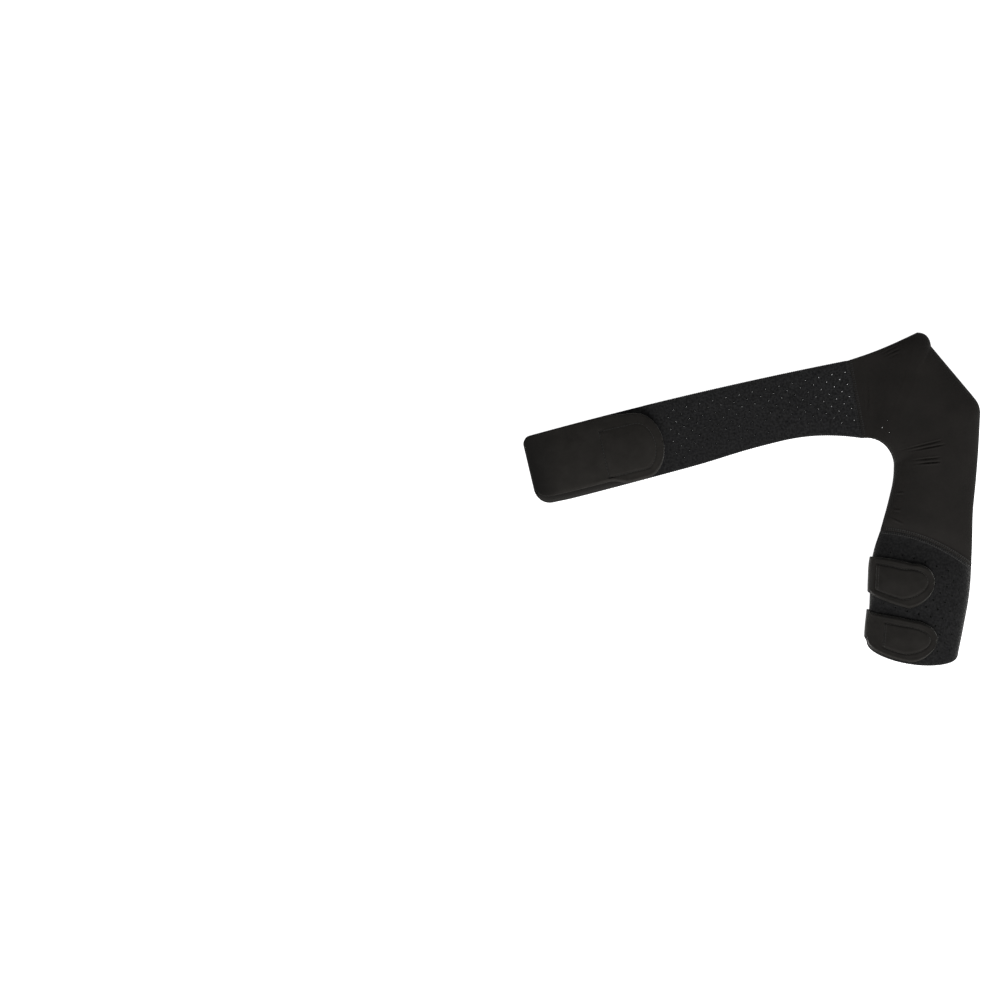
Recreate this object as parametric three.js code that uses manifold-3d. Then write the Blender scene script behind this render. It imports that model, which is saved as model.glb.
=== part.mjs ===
// One-shoulder brace of 3 mm neoprene, lying flat with its front side up.
// Millimetres, +Z up. The back panels rest on the surface at z = 0 and the front
// panels arch over the hollow that the arm and the chest go through.

import * as THREE from 'three';
import * as BufferGeometryUtils from 'three/addons/utils/BufferGeometryUtils.js';
import Module from 'manifold-3d';

const wasm = await Module();
wasm.setup();

const { lerp, degToRad, smoothstep } = THREE.MathUtils;

// Sheet and fits
const wall = 3;
const clearance = 0.3;
const hookThickness = 1.2;

// Heights of the front layer above the surface
const seamHeight = 22;
const shoulderHeight = 32;
const sleeveHeight = 28;
const cuffHeight = 25;
const strapHeight = 15;

// Chest strap, from the shoulder seam to its folded end
const strapLength = 418.5;
const strapWidth = 90;
const strapSlope = 13.3;
const strapBow = 4;
const endRadiusTop = 10;
const endRadiusBottom = 20;
const flareLength = 105;
const settleLength = 150;
const frontEndBack = 14;

// Closing tab on the chest strap
const tabLength = 171;
const tabTipLength = 30;
const tabBorder = 8;
const tabInset = 0.5;
const tabTipInset = 6;
const tabTipInsetLength = 40;
const chestHookLength = 69;
const chestHookWidth = 62;
const chestHookMargin = 9;
const chestHookDrop = 3;

// Perforation: staggered rows that run along the strap
const holeDiameter = 2.4;
const holePitch = 16.9;
const holeRowPitch = 7.6;
const holeEdgeMargin = 13.4;
const holeSeamMargin = 7;
const holeTabMargin = 5;
const holeSides = 6;

// Shoulder panel
const neckRun = 86;
const neckRise = 35;
const neckSag = 2;
const tipRun = 17.5;
const tipDrop = 17;
const ridgeLength = 85.5;
const ridgeAngle = 50;
const capRadius = 28;
const tipSoftness = 0.1;

// Armpit and sleeve
const armpitDrop = 65;
const armpitRadius = 34;
const armpitSweep = 99;
const sleeveWidth = 104;
const sleeveOuterLength = 192;
const sleeveOuterLean = 11;
const sleeveInnerLength = 82;
const sleeveInnerLean = 17;
const cuffSeamBow = 11;
const seamBowRoundness = 0.8;

// Arm cuff
const cuffOuterLength = 105;
const cuffOuterLean = 16.5;
const cuffInnerLength = 134.5;
const cuffInnerLean = 17;
const hemBow = 24.5;
const hemBowRoundness = 0.35;

// Closing straps of the cuff: each is narrower at its root, and its tip leans up the arm
const upperStrapStart = 29;
const upperStrapWidth = 48;
const upperStrapReach = 80;
const upperRootNarrowing = 3.5;
const upperTipLean = 10;
const upperHookStart = 9;
const lowerStrapStart = 88;
const lowerStrapWidth = 45;
const lowerStrapReach = 84.5;
const lowerRootNarrowing = 10;
const lowerTipLean = 4;
const lowerHookStart = 21;
const armTipLength = 30;
const armHookMargin = 8;
const rootAngle = 22;

// Where the two layers of a closed edge meet, as a share of the height there, and
// how quickly the front rises and the back flattens away from that edge
const meetShare = 0.38;
const frontRoundness = 0.7;
const backRoundness = 0.5;
const backFlatness = 1.12;
const edgeDroop = 0.08;

// Faces across a panel, a strap and a hook patch, and round the cuff's edge
const panelDivisions = 14;
const strapDivisions = 8;
const patchDivisions = 4;
const wrapDivisions = 8;

const lyingHeight = 2 * wall + clearance;
const foldHeight = 3 * wall + 2 * clearance;
const foldRadius = foldHeight / 2;

// Value of one named column of a table, read between its rows
function readTable( table, column, at ) {

	const next = table.findIndex( row => row.at >= at );
	if ( next === - 1 ) return table[ table.length - 1 ][ column ];
	if ( next === 0 ) return table[ 0 ][ column ];

	const before = table[ next - 1 ];
	const after = table[ next ];
	const share = ( at - before.at ) / ( after.at - before.at );
	return lerp( before[ column ], after[ column ], share );

}

// Turns the faces outwards where the grid's order has them pointing in
function faceOutwards( geometry ) {

	const position = geometry.attributes.position;
	const index = geometry.index.array;
	const [ a, b, c ] = [ new THREE.Vector3(), new THREE.Vector3(), new THREE.Vector3() ];
	let volume = 0;

	for ( let i = 0; i < index.length; i += 3 ) {

		a.fromBufferAttribute( position, index[ i ] );
		b.fromBufferAttribute( position, index[ i + 1 ] );
		c.fromBufferAttribute( position, index[ i + 2 ] );
		volume += a.dot( b.cross( c ) );

	}

	if ( volume > 0 ) return;
	for ( let i = 0; i < index.length; i += 3 ) {

		[ index[ i + 1 ], index[ i + 2 ] ] = [ index[ i + 2 ], index[ i + 1 ] ];

	}

}

// Closed solid between two grids of the same rows: pointAt( row, across, depth )
// gives the outer face at depth 0 and the inner face at the depth given
function sheetGeometry( rows, divisions, depth, pointAt ) {

	const columns = divisions + 1;
	const layerSize = rows.length * columns;
	const positions = [];

	for ( const layerDepth of [ 0, depth ] ) {

		for ( const row of rows ) {

			for ( let j = 0; j < columns; j ++ ) {

				positions.push( ...pointAt( row, j / divisions, layerDepth ).toArray() );

			}

		}

	}

	const indices = [];
	const quad = ( a, b, c, d ) => indices.push( a, b, c, a, c, d );
	const at = ( layer, i, j ) => layer * layerSize + i * columns + j;
	const lastRow = rows.length - 1;

	for ( let i = 0; i < lastRow; i ++ ) {

		for ( let j = 0; j < divisions; j ++ ) {

			quad( at( 0, i, j ), at( 0, i + 1, j ), at( 0, i + 1, j + 1 ), at( 0, i, j + 1 ) );
			quad( at( 1, i, j ), at( 1, i, j + 1 ), at( 1, i + 1, j + 1 ), at( 1, i + 1, j ) );

		}

		quad( at( 0, i, 0 ), at( 1, i, 0 ), at( 1, i + 1, 0 ), at( 0, i + 1, 0 ) );
		quad( at( 0, i, divisions ), at( 0, i + 1, divisions ),
			at( 1, i + 1, divisions ), at( 1, i, divisions ) );

	}

	for ( let j = 0; j < divisions; j ++ ) {

		quad( at( 0, 0, j ), at( 0, 0, j + 1 ), at( 1, 0, j + 1 ), at( 1, 0, j ) );
		quad( at( 0, lastRow, j ), at( 1, lastRow, j ),
			at( 1, lastRow, j + 1 ), at( 0, lastRow, j + 1 ) );

	}

	const geometry = new THREE.BufferGeometry();
	geometry.setAttribute( 'position', new THREE.Float32BufferAttribute( positions, 3 ) );
	geometry.setIndex( indices );
	faceOutwards( geometry );
	geometry.computeVertexNormals();
	return geometry;

}

// Shoulder outline. The plan starts at the top of the strap seam; the outer edge
// goes along the neck, round the tip, down the ridge and the cap to the sleeve
const seamTop = new THREE.Vector2( 0, 0 );
const tipStart = seamTop.clone().add( new THREE.Vector2( neckRun, neckRise ) );
const tipEnd = tipStart.clone().add( new THREE.Vector2( tipRun, - tipDrop ) );
const tipCurve = new THREE.QuadraticBezierCurve( tipStart,
	new THREE.Vector2( tipEnd.x - tipSoftness * tipRun, tipStart.y ), tipEnd );
const ridgeDirection = new THREE.Vector2( Math.cos( degToRad( ridgeAngle ) ),
	- Math.sin( degToRad( ridgeAngle ) ) );
const ridgeInward = new THREE.Vector2( ridgeDirection.y, - ridgeDirection.x );
const ridgeEnd = tipEnd.clone().addScaledVector( ridgeDirection, ridgeLength );
const capCentre = ridgeEnd.clone().addScaledVector( ridgeInward, capRadius );
const sleeveTop = capCentre.clone().add( new THREE.Vector2( capRadius, 0 ) );

const outerEdges = {
	neck: at => tipStart.clone().multiplyScalar( at ).sub(
		new THREE.Vector2( 0, neckSag * Math.sin( Math.PI * at ) ) ),
	tip: at => tipCurve.getPoint( at ),
	ridge: at => tipEnd.clone().lerp( ridgeEnd, at ),
	cap: at => {

		const angle = degToRad( ( 90 - ridgeAngle ) * ( 1 - at ) );
		return capCentre.clone().add(
			new THREE.Vector2( Math.cos( angle ), Math.sin( angle ) ).multiplyScalar( capRadius ) );

	},
};

// Outlines of the sleeve and cuff, as shares of their lengths and leans
const sleeveOutline = [
	{ at: 0, outerLean: 0, innerLean: 0 },
	{ at: 0.13, outerLean: 0.11, innerLean: 0.02 },
	{ at: 0.26, outerLean: 0.24, innerLean: 0.09 },
	{ at: 0.45, outerLean: 0.5, innerLean: 0.29 },
	{ at: 0.65, outerLean: 0.82, innerLean: 0.53 },
	{ at: 0.82, outerLean: 0.89, innerLean: 0.76 },
	{ at: 1, outerLean: 1, innerLean: 1 },
];

const cuffOutline = [
	{ at: 0, outerLean: 0, innerLean: 0 },
	{ at: 0.16, outerLean: 0.05, innerLean: 0.42 },
	{ at: 0.31, outerLean: 0.14, innerLean: 0.66 },
	{ at: 0.45, outerLean: 0.27, innerLean: 0.72 },
	{ at: 0.6, outerLean: 0.45, innerLean: 0.76 },
	{ at: 0.75, outerLean: 0.64, innerLean: 0.82 },
	{ at: 0.88, outerLean: 0.82, innerLean: 0.93 },
	{ at: 1, outerLean: 1, innerLean: 1 },
];

function edgePoint( start, at, length, lean ) {

	return new THREE.Vector2( start.x - lean, start.y - at * length );

}

function sleeveOuter( at ) {

	const lean = sleeveOuterLean * readTable( sleeveOutline, 'outerLean', at );
	return edgePoint( sleeveTop, at, sleeveOuterLength, lean );

}

const armpitLevel = sleeveOuter( armpitDrop / sleeveOuterLength );
const armpitEnd = new THREE.Vector2( armpitLevel.x - sleeveWidth, armpitLevel.y );
const armpitCentre = armpitEnd.clone().sub( new THREE.Vector2( armpitRadius, 0 ) );

function armpitPoint( share ) {

	const angle = degToRad( armpitSweep * ( 1 - share ) );
	return armpitCentre.clone().add(
		new THREE.Vector2( Math.cos( angle ), Math.sin( angle ) ).multiplyScalar( armpitRadius ) );

}

function sleeveInner( at ) {

	const lean = sleeveInnerLean * readTable( sleeveOutline, 'innerLean', at );
	return edgePoint( armpitEnd, at, sleeveInnerLength, lean );

}

function cuffOuter( at ) {

	const lean = cuffOuterLean * readTable( cuffOutline, 'outerLean', at );
	return edgePoint( sleeveOuter( 1 ), at, cuffOuterLength, lean );

}

function cuffInner( at ) {

	const lean = cuffInnerLean * readTable( cuffOutline, 'innerLean', at );
	return edgePoint( sleeveInner( 1 ), at, cuffInnerLength, lean );

}

// A rib is one line across the brace from its inner to its outer edge. It holds
// its crown height, how far its two edges gape open and how its line is bowed
function makeRib( inner, outer, values ) {

	const across = outer.clone().sub( inner );
	return { inner, outer, width: across.length(), direction: across.normalize(), ...values };

}

const shoulderTable = [
	{ edge: 'neck', at: 0, pit: 0, rise: 0, neckGape: 1, pitGape: 1 },
	{ edge: 'neck', at: 0.28, pit: 0.08, rise: 0.25, neckGape: 0.92, pitGape: 1 },
	{ edge: 'neck', at: 0.55, pit: 0.2, rise: 0.5, neckGape: 0.76, pitGape: 1 },
	{ edge: 'neck', at: 0.8, pit: 0.32, rise: 0.75, neckGape: 0.5, pitGape: 0.97 },
	{ edge: 'tip', at: 0, pit: 0.42, rise: 0.9, neckGape: 0.24, pitGape: 0.92 },
	{ edge: 'tip', at: 0.35, pit: 0.46, rise: 0.95, neckGape: 0.12, pitGape: 0.89 },
	{ edge: 'tip', at: 0.7, pit: 0.5, rise: 0.98, neckGape: 0.04, pitGape: 0.86 },
	{ edge: 'ridge', at: 0, pit: 0.54, rise: 1, neckGape: 0, pitGape: 0.82 },
	{ edge: 'ridge', at: 0.25, pit: 0.61, rise: 1, neckGape: 0, pitGape: 0.75 },
	{ edge: 'ridge', at: 0.5, pit: 0.69, rise: 1, neckGape: 0, pitGape: 0.64 },
	{ edge: 'ridge', at: 0.75, pit: 0.77, rise: 1, neckGape: 0, pitGape: 0.5 },
	{ edge: 'cap', at: 0, pit: 0.86, rise: 1, neckGape: 0, pitGape: 0.33 },
	{ edge: 'cap', at: 0.5, pit: 0.93, rise: 1, neckGape: 0, pitGape: 0.16 },
];

const shoulderRibs = shoulderTable.map( row => makeRib(
	armpitPoint( row.pit ), outerEdges[ row.edge ]( row.at ), {
		crown: lerp( seamHeight, shoulderHeight, row.rise ),
		innerGape: row.pitGape,
		outerGape: row.neckGape,
		bow: 0,
		bowRoundness: 1,
	} ) );

function sleeveRib( at ) {

	return makeRib( sleeveInner( at ), sleeveOuter( at ), {
		crown: lerp( shoulderHeight, sleeveHeight, smoothstep( at, 0, 1 ) ),
		innerGape: 0,
		outerGape: 0,
		bow: cuffSeamBow * at * at,
		bowRoundness: seamBowRoundness,
	} );

}

function cuffRib( at ) {

	return makeRib( cuffInner( at ), cuffOuter( at ), {
		crown: lerp( sleeveHeight, cuffHeight, at ),
		innerGape: 0,
		outerGape: 0,
		bow: lerp( cuffSeamBow, - hemBow, at ),
		bowRoundness: lerp( seamBowRoundness, hemBowRoundness, at ),
	} );

}

// Place in plan at a distance along a rib, moved along the arm by the rib's bow
function ribPlace( rib, distance ) {

	const place = rib.inner.clone().addScaledVector( rib.direction, distance );
	const share = THREE.MathUtils.clamp( distance / rib.width, 0, 1 );
	place.y += rib.bow * Math.pow( Math.sin( Math.PI * share ), rib.bowRoundness );
	return place;

}

// A closed edge is a half round where the front and back meet; an open edge is a
// free cut edge. The gape of the rib's nearer edge blends the two
function panelPoint( rib, across, layer, depth ) {

	const turn = Math.PI * across;
	const gape = across < 0.5 ? rib.innerGape : rib.outerGape;
	const inset = depth * Math.sqrt( 1 - gape * gape );
	const half = rib.width / 2;
	const place = ribPlace( rib, half - ( half - inset ) * Math.cos( turn ) );

	const swell = Math.sin( turn );
	const meet = meetShare * rib.crown;
	const frontMeet = meet + clearance / 2;
	const backMeet = meet - clearance / 2;
	let closed = frontMeet + ( rib.crown - depth - frontMeet ) * Math.pow( swell, frontRoundness );
	let open = rib.crown - depth - edgeDroop * ( rib.crown - lyingHeight ) * ( 1 - swell );

	if ( layer === 'back' ) {

		const flat = Math.min( 1, backFlatness * Math.pow( swell, backRoundness ) );
		closed = backMeet - ( backMeet - depth ) * flat;
		open = depth;

	}

	return new THREE.Vector3( place.x, place.y, lerp( closed, open, gape ) );

}

function panelGeometry( ribs, layer ) {

	return sheetGeometry( ribs, panelDivisions, wall,
		( rib, across, depth ) => panelPoint( rib, across, layer, depth ) );

}

// A rib moved along the brace, which leaves the clearance at a seam
function shiftedRib( rib, shift ) {

	return { ...rib, inner: rib.inner.clone().add( shift ), outer: rib.outer.clone().add( shift ) };

}

const slope = degToRad( strapSlope );
const strapAxis = new THREE.Vector2( - Math.cos( slope ), - Math.sin( slope ) );
const strapSide = new THREE.Vector2( Math.sin( slope ), - Math.cos( slope ) );
const armAxis = new THREE.Vector2( 0, - 1 );

const sleeveStations = [ 0, 0.12, 0.24, 0.36, 0.5, 0.63, 0.76, 0.88, 1 ];
const cuffStations = [ 0, 0.16, 0.31, 0.45, 0.6, 0.75, 0.88, 0.96, 1 ];

const bodyRibs = [ ...shoulderRibs, ...sleeveStations.map( sleeveRib ) ];
const seamRib = bodyRibs[ 0 ];
const cuffSeamRib = bodyRibs.pop();
bodyRibs.push( shiftedRib( cuffSeamRib, armAxis.clone().multiplyScalar( - clearance / 2 ) ) );
bodyRibs[ 0 ] = shiftedRib( seamRib, strapAxis.clone().multiplyScalar( - clearance / 2 ) );

const cuffRibs = cuffStations.map( cuffRib );
cuffRibs[ 0 ] = shiftedRib( cuffRibs[ 0 ], armAxis.clone().multiplyScalar( clearance / 2 ) );

// Chest strap in its own coordinates: s runs from the seam to the folded end and
// t from the chord of its top edge towards its bottom edge
const strapTable = [
	{ at: 0, width: 0.9, lift: 1 },
	{ at: 0.2, width: 0.902, lift: 1 },
	{ at: 0.34, width: 0.922, lift: 1 },
	{ at: 0.5, width: 0.973, lift: 1 },
	{ at: 0.62, width: 0.99, lift: 0.97 },
	{ at: 0.7, width: 0.997, lift: 0.78 },
	{ at: 0.78, width: 1, lift: 0.48 },
	{ at: 0.85, width: 1, lift: 0.2 },
	{ at: 0.91, width: 0.995, lift: 0.03 },
	{ at: 0.95, width: 0.985, lift: 0 },
	{ at: 1, width: 0.975, lift: 0 },
];

const seamBottom = armpitPoint( 0 ).sub( seamTop );
const seamSkew = seamBottom.dot( strapAxis );
const seamWidth = seamBottom.dot( strapSide );

function easeOff( s, length ) {

	const left = Math.max( 0, 1 - s / length );
	return left * left;

}

function cornerInset( s, radius ) {

	const left = Math.max( 0, radius - ( strapLength - s ) );
	return radius - Math.sqrt( Math.max( 0, radius * radius - left * left ) );

}

function strapEdges( s ) {

	const share = s / strapLength;
	const top = - 4 * strapBow * share * ( 1 - share );
	const flare = seamWidth - strapWidth * strapTable[ 0 ].width;
	const width = strapWidth * readTable( strapTable, 'width', share ) + flare * easeOff( s, flareLength );
	return {
		top: top + cornerInset( s, endRadiusTop ),
		bottom: top + width - cornerInset( s, endRadiusBottom ),
	};

}

function strapPlace( s, t ) {

	return seamTop.clone().addScaledVector( strapAxis, s ).addScaledVector( strapSide, t );

}

// Top of the front layer along the strap: it comes down from the seam, stands off
// the back layer where the loop is open and lies on it under the tab
function frontHeight( s ) {

	const lift = readTable( strapTable, 'lift', s / strapLength );
	return lyingHeight + ( strapHeight - lyingHeight ) * lift
		+ ( seamHeight - strapHeight ) * easeOff( s, settleLength );

}

function frontTop( s, swell ) {

	const height = frontHeight( s );
	return height - edgeDroop * ( height - lyingHeight ) * ( 1 - swell );

}

function strapPoint( s, across, layer, depth ) {

	const edges = strapEdges( s );
	const spread = ( 1 - Math.cos( Math.PI * across ) ) / 2;
	const skewed = s + seamSkew * ( 1 - spread ) * easeOff( s, flareLength );
	const place = strapPlace( skewed, lerp( edges.bottom, edges.top, spread ) );
	const height = layer === 'back' ? depth : frontTop( s, Math.sin( Math.PI * across ) ) - depth;
	return new THREE.Vector3( place.x, place.y, height );

}

function strapStations( end ) {

	const shares = [ 0, 0.04, 0.08, 0.12, 0.16, 0.2, 0.26, 0.32, 0.38, 0.44, 0.5,
		0.56, 0.62, 0.66, 0.7, 0.74, 0.78, 0.82, 0.86, 0.9, 0.94, 0.97, 0.985, 1 ];
	return shares.map( share => lerp( clearance / 2, end, share ) );

}

function strapGeometry( layer, end ) {

	return sheetGeometry( strapStations( end ), strapDivisions, wall,
		( s, across, depth ) => strapPoint( s, across, layer, depth ) );

}

// Solid cut by others, all given as closed geometries
function toManifold( geometry ) {

	const bare = geometry.clone();
	bare.deleteAttribute( 'normal' );
	bare.deleteAttribute( 'uv' );
	const merged = BufferGeometryUtils.mergeVertices( bare );
	return new wasm.Manifold( new wasm.Mesh( {
		numProp: 3,
		vertProperties: new Float32Array( merged.attributes.position.array ),
		triVerts: new Uint32Array( merged.index.array ),
	} ) );

}

function cutGeometry( geometry, cutters ) {

	const cutter = toManifold( BufferGeometryUtils.mergeGeometries( cutters ) );
	const mesh = toManifold( geometry ).subtract( cutter ).getMesh();
	const result = new THREE.BufferGeometry();
	result.setAttribute( 'position', new THREE.BufferAttribute( mesh.vertProperties, 3 ) );
	result.setIndex( new THREE.BufferAttribute( mesh.triVerts, 1 ) );
	result.computeVertexNormals();
	return result;

}

// Staggered rows of punched holes between the seam and the tab's tip
function strapHoles() {

	const holes = [];
	const end = strapLength - tabLength - holeTabMargin;
	const rows = Math.floor( ( strapWidth - 2 * holeEdgeMargin ) / holeRowPitch ) + 1;

	for ( let row = 0; row < rows; row ++ ) {

		const stagger = row % 2 ? holePitch / 2 : 0;
		for ( let s = holeSeamMargin + stagger; s < end; s += holePitch ) {

			const edges = strapEdges( s );
			const t = edges.top + holeEdgeMargin + row * holeRowPitch;
			if ( t > edges.bottom - holeEdgeMargin ) continue;

			const place = strapPlace( s, t );
			const height = 2 * seamHeight;
			const hole = new THREE.CylinderGeometry(
				holeDiameter / 2, holeDiameter / 2, height, holeSides );
			hole.rotateX( Math.PI / 2 );
			hole.translate( place.x, place.y, height / 4 );
			holes.push( hole );

		}

	}

	return holes;

}

// Closing tab: it starts at the end of the back layer, turns over in a half round
// and lies on the front layer, clear of the hook patch, up to its round tip
const tabTip = strapLength - tabLength;
const foldStart = strapLength - foldRadius;
const patchStart = tabTip + chestHookMargin;
const patchEnd = patchStart + chestHookLength;
const foldAngles = [ - 90, - 54, - 18, 18, 54, 90 ];
const tipAngles = [ 84, 68, 52, 38, 25, 13 ];
const tabStations = [ 0.95, 0.88, 0.8, 0.7, 0.6, 0.5, 0.4, 0.32, 0.24, 0.16 ];
const tabSettled = lerp( patchEnd, strapLength, 0.6 );
const tabInsetStart = tabTip + tabTipLength + tabTipInsetLength;

function tabUnder( s ) {

	const overPatch = 1 - smoothstep( s, patchEnd, tabSettled );
	return clearance + ( hookThickness + clearance ) * overPatch;

}

function foldRow( angle ) {

	const radians = degToRad( angle );
	return {
		s: depth => foldStart + ( foldRadius - depth ) * Math.cos( radians ),
		z: depth => foldRadius + ( foldRadius - depth ) * Math.sin( radians ),
		border: tabBorder * ( 1 + Math.sin( radians ) ) / 2,
		inset: 0,
		narrowing: 1,
	};

}

function tabRow( s, narrowing ) {

	const border = tabBorder * smoothstep( s, patchStart, patchEnd );
	return {
		s: () => s,
		z: ( depth, swell ) => frontTop( s, swell ) + tabUnder( s ) + wall - depth,
		border,
		inset: tabTipInset * ( 1 - smoothstep( s, tabTip + tabTipLength / 2, tabInsetStart ) ),
		narrowing,
	};

}

function tabPoint( row, across, depth ) {

	const s = row.s( depth );
	const edges = strapEdges( row.s( 0 ) );
	const top = edges.top + tabInset + row.inset;
	const bottom = edges.bottom - tabInset - row.border;
	const middle = ( top + bottom ) / 2;
	const half = row.narrowing * ( bottom - top ) / 2;
	const spread = Math.cos( Math.PI * across );
	const place = strapPlace( s, middle + half * spread );
	const swell = Math.sqrt( 1 - Math.pow( row.narrowing * spread, 2 ) );
	return new THREE.Vector3( place.x, place.y, row.z( depth, swell ) );

}

function tabGeometry() {

	const straightEnd = tabTip + tabTipLength;
	const rows = [
		...foldAngles.map( foldRow ),
		...tabStations.map( share => tabRow( lerp( straightEnd, foldStart, share ), 1 ) ),
		...tipAngles.map( angle => {

			const radians = degToRad( angle );
			return tabRow( tabTip + tabTipLength * ( 1 - Math.cos( radians ) ), Math.sin( radians ) );

		} ),
	];
	return sheetGeometry( rows, strapDivisions, wall, tabPoint );

}

// Hook patch between the tab and the front layer, round like the tab at its tip
const patchRoundShare = 0.3;
const patchStations = [ 1, 0.75, 0.5, patchRoundShare ];
const patchTipAngles = [ 68, 46, 28, 14 ];

function chestHookGeometry() {

	const rows = patchStations.map( share => ( {
		s: lerp( patchStart, patchEnd, share ), half: chestHookWidth / 2 } ) );
	const roundLength = patchRoundShare * chestHookLength;
	for ( const angle of patchTipAngles ) {

		const radians = degToRad( angle );
		rows.push( {
			s: patchStart + roundLength * ( 1 - Math.cos( radians ) ),
			half: Math.sin( radians ) * chestHookWidth / 2,
		} );

	}

	return sheetGeometry( rows, patchDivisions, hookThickness, ( row, across, depth ) => {

		const edges = strapEdges( row.s );
		const spread = chestHookDrop + ( 1 - 2 * across ) * row.half;
		const place = strapPlace( row.s, ( edges.top + edges.bottom ) / 2 + spread );
		const swell = Math.sqrt( 1 - Math.pow( 2 * spread / ( edges.bottom - edges.top ), 2 ) );
		const height = frontTop( row.s, swell ) + clearance + hookThickness - depth;
		return new THREE.Vector3( place.x, place.y, height );

	} );

}

// Outside of the cuff at an angle round its section, 0 at the inner edge, less
// than 0 on the back and more on the front, at a distance off its surface
function wrapPoint( at, turn, offset ) {

	const rib = cuffRib( at );
	const half = rib.width / 2;
	const place = ribPlace( rib, half - ( half + offset ) * Math.cos( turn ) );
	const swell = Math.abs( Math.sin( turn ) );
	const meet = meetShare * rib.crown;
	let height = meet + ( rib.crown + offset - meet ) * Math.pow( swell, frontRoundness );
	if ( turn < 0 ) {

		height = meet - ( meet + offset ) * Math.min( 1, backFlatness * Math.pow( swell, backRoundness ) );

	}

	return new THREE.Vector3( place.x, place.y, height );

}

function turnAt( distance, width ) {

	return Math.acos( 1 - 2 * distance / width );

}

const rootStations = [ 1, 0.66, 0.33 ];
const armTipAngles = [ 70, 50, 32, 15 ];
const armStraps = {
	upper: {
		start: upperStrapStart, width: upperStrapWidth, reach: upperStrapReach,
		rootNarrowing: upperRootNarrowing, tipLean: upperTipLean, hookStart: upperHookStart },
	lower: {
		start: lowerStrapStart, width: lowerStrapWidth, reach: lowerStrapReach,
		rootNarrowing: lowerRootNarrowing, tipLean: lowerTipLean, hookStart: lowerHookStart },
};

// Rows of an arm strap or its patch: how far round the cuff, how much of its width
// is left there, how much of the root's narrowing, and how much of the tip's lean
function armRows( size, from, to ) {

	const ribWidth = cuffRib( ( size.start + size.width / 2 ) / cuffInnerLength ).width;
	const straight = to - armTipLength;
	const rows = [];
	for ( let i = 0; i <= wrapDivisions; i ++ ) {

		const turn = lerp( turnAt( from, ribWidth ), turnAt( straight, ribWidth ), i / wrapDivisions );
		const distance = ribWidth * ( 1 - Math.cos( turn ) ) / 2;
		const left = 1 - Math.min( 1, distance / ( size.reach - armTipLength ) );
		rows.push( { turn, narrowing: 1, root: left * left, lean: 0 } );

	}

	for ( const angle of armTipAngles ) {

		const radians = degToRad( angle );
		const lean = Math.cos( radians );
		const turn = turnAt( straight + armTipLength * lean, ribWidth );
		rows.push( { turn, narrowing: Math.sin( radians ), root: 0, lean } );

	}

	return rows;

}

// How far down the arm a point of an arm strap or its patch lies, as a share of the cuff
function alongArm( size, row, across, margin ) {

	const top = size.start + margin + size.rootNarrowing * row.root;
	const bottom = size.start + size.width - margin;
	const middle = ( top + bottom ) / 2 - size.tipLean * row.lean;
	return ( middle + row.narrowing * ( across - 0.5 ) * ( bottom - top ) ) / cuffInnerLength;

}

function armStrapGeometry( size ) {

	const rows = [
		...rootStations.map( share => ( {
			turn: - share * degToRad( rootAngle ), narrowing: 1, root: 1, lean: 0 } ) ),
		...armRows( size, 0, size.reach ),
	];
	const ribWidth = cuffRib( ( size.start + size.width / 2 ) / cuffInnerLength ).width;
	const overPatch = turnAt( size.hookStart, ribWidth );

	return sheetGeometry( rows, strapDivisions, wall, ( row, across, depth ) => {

		const lift = ( hookThickness + clearance ) * smoothstep( row.turn, 0, overPatch );
		return wrapPoint( alongArm( size, row, across, 0 ), row.turn, clearance + lift + wall - depth );

	} );

}

function armHookGeometry( size ) {

	const rows = armRows( size, size.hookStart, size.reach - armHookMargin );

	return sheetGeometry( rows, patchDivisions, hookThickness, ( row, across, depth ) => {

		const at = alongArm( size, row, across, armHookMargin );
		return wrapPoint( at, row.turn, clearance + hookThickness - depth );

	} );

}

// Fabrics
const smoothFabric = { color: 0x201f1e, roughness: 0.85, metalness: 0 };
const perforatedFabric = { color: 0x222223, roughness: 0.9, metalness: 0 };
const loopFabric = { color: 0x262422, roughness: 0.95, metalness: 0 };
const hookTape = { color: 0x151515, roughness: 0.7, metalness: 0 };

const brace = new THREE.Group();

function addPiece( name, geometry, finish ) {

	const mesh = new THREE.Mesh( geometry, new THREE.MeshStandardMaterial( finish ) );
	mesh.name = name;
	brace.add( mesh );

}

for ( const layer of [ 'front', 'back' ] ) {

	addPiece( `shoulder_${layer}`, panelGeometry( bodyRibs, layer ), smoothFabric );
	addPiece( `cuff_${layer}`, panelGeometry( cuffRibs, layer ), perforatedFabric );

}

addPiece( 'chest_strap_front', cutGeometry(
	strapGeometry( 'front', strapLength - frontEndBack ), strapHoles() ), perforatedFabric );
addPiece( 'chest_strap_back', strapGeometry( 'back', foldStart - clearance ), perforatedFabric );
addPiece( 'chest_tab', tabGeometry(), loopFabric );
addPiece( 'chest_hook_patch', chestHookGeometry(), hookTape );

for ( const [ place, size ] of Object.entries( armStraps ) ) {

	addPiece( `arm_strap_${place}`, armStrapGeometry( size ), loopFabric );
	addPiece( `arm_hook_${place}`, armHookGeometry( size ), hookTape );

}

// The origin is the middle of the brace's outline, on the surface that it lies on
const box = new THREE.Box3().setFromObject( brace );
const centre = box.getCenter( new THREE.Vector3() );
brace.position.set( - centre.x, - centre.y, - box.min.z );
brace.updateMatrixWorld( true );

export default brace;
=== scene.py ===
# A one-shoulder brace of 3 mm neoprene, lying flat with its front side up: shoulder cap
# and sleeve, perforated chest strap with its closing tab, and arm cuff with two straps.
# Metres, +Z up. The surface that it lies on is z = 0.

import math

import bpy
import numpy as np
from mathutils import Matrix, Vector
from mathutils.bvhtree import BVHTree
from mathutils.geometry import delaunay_2d_cdt


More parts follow.
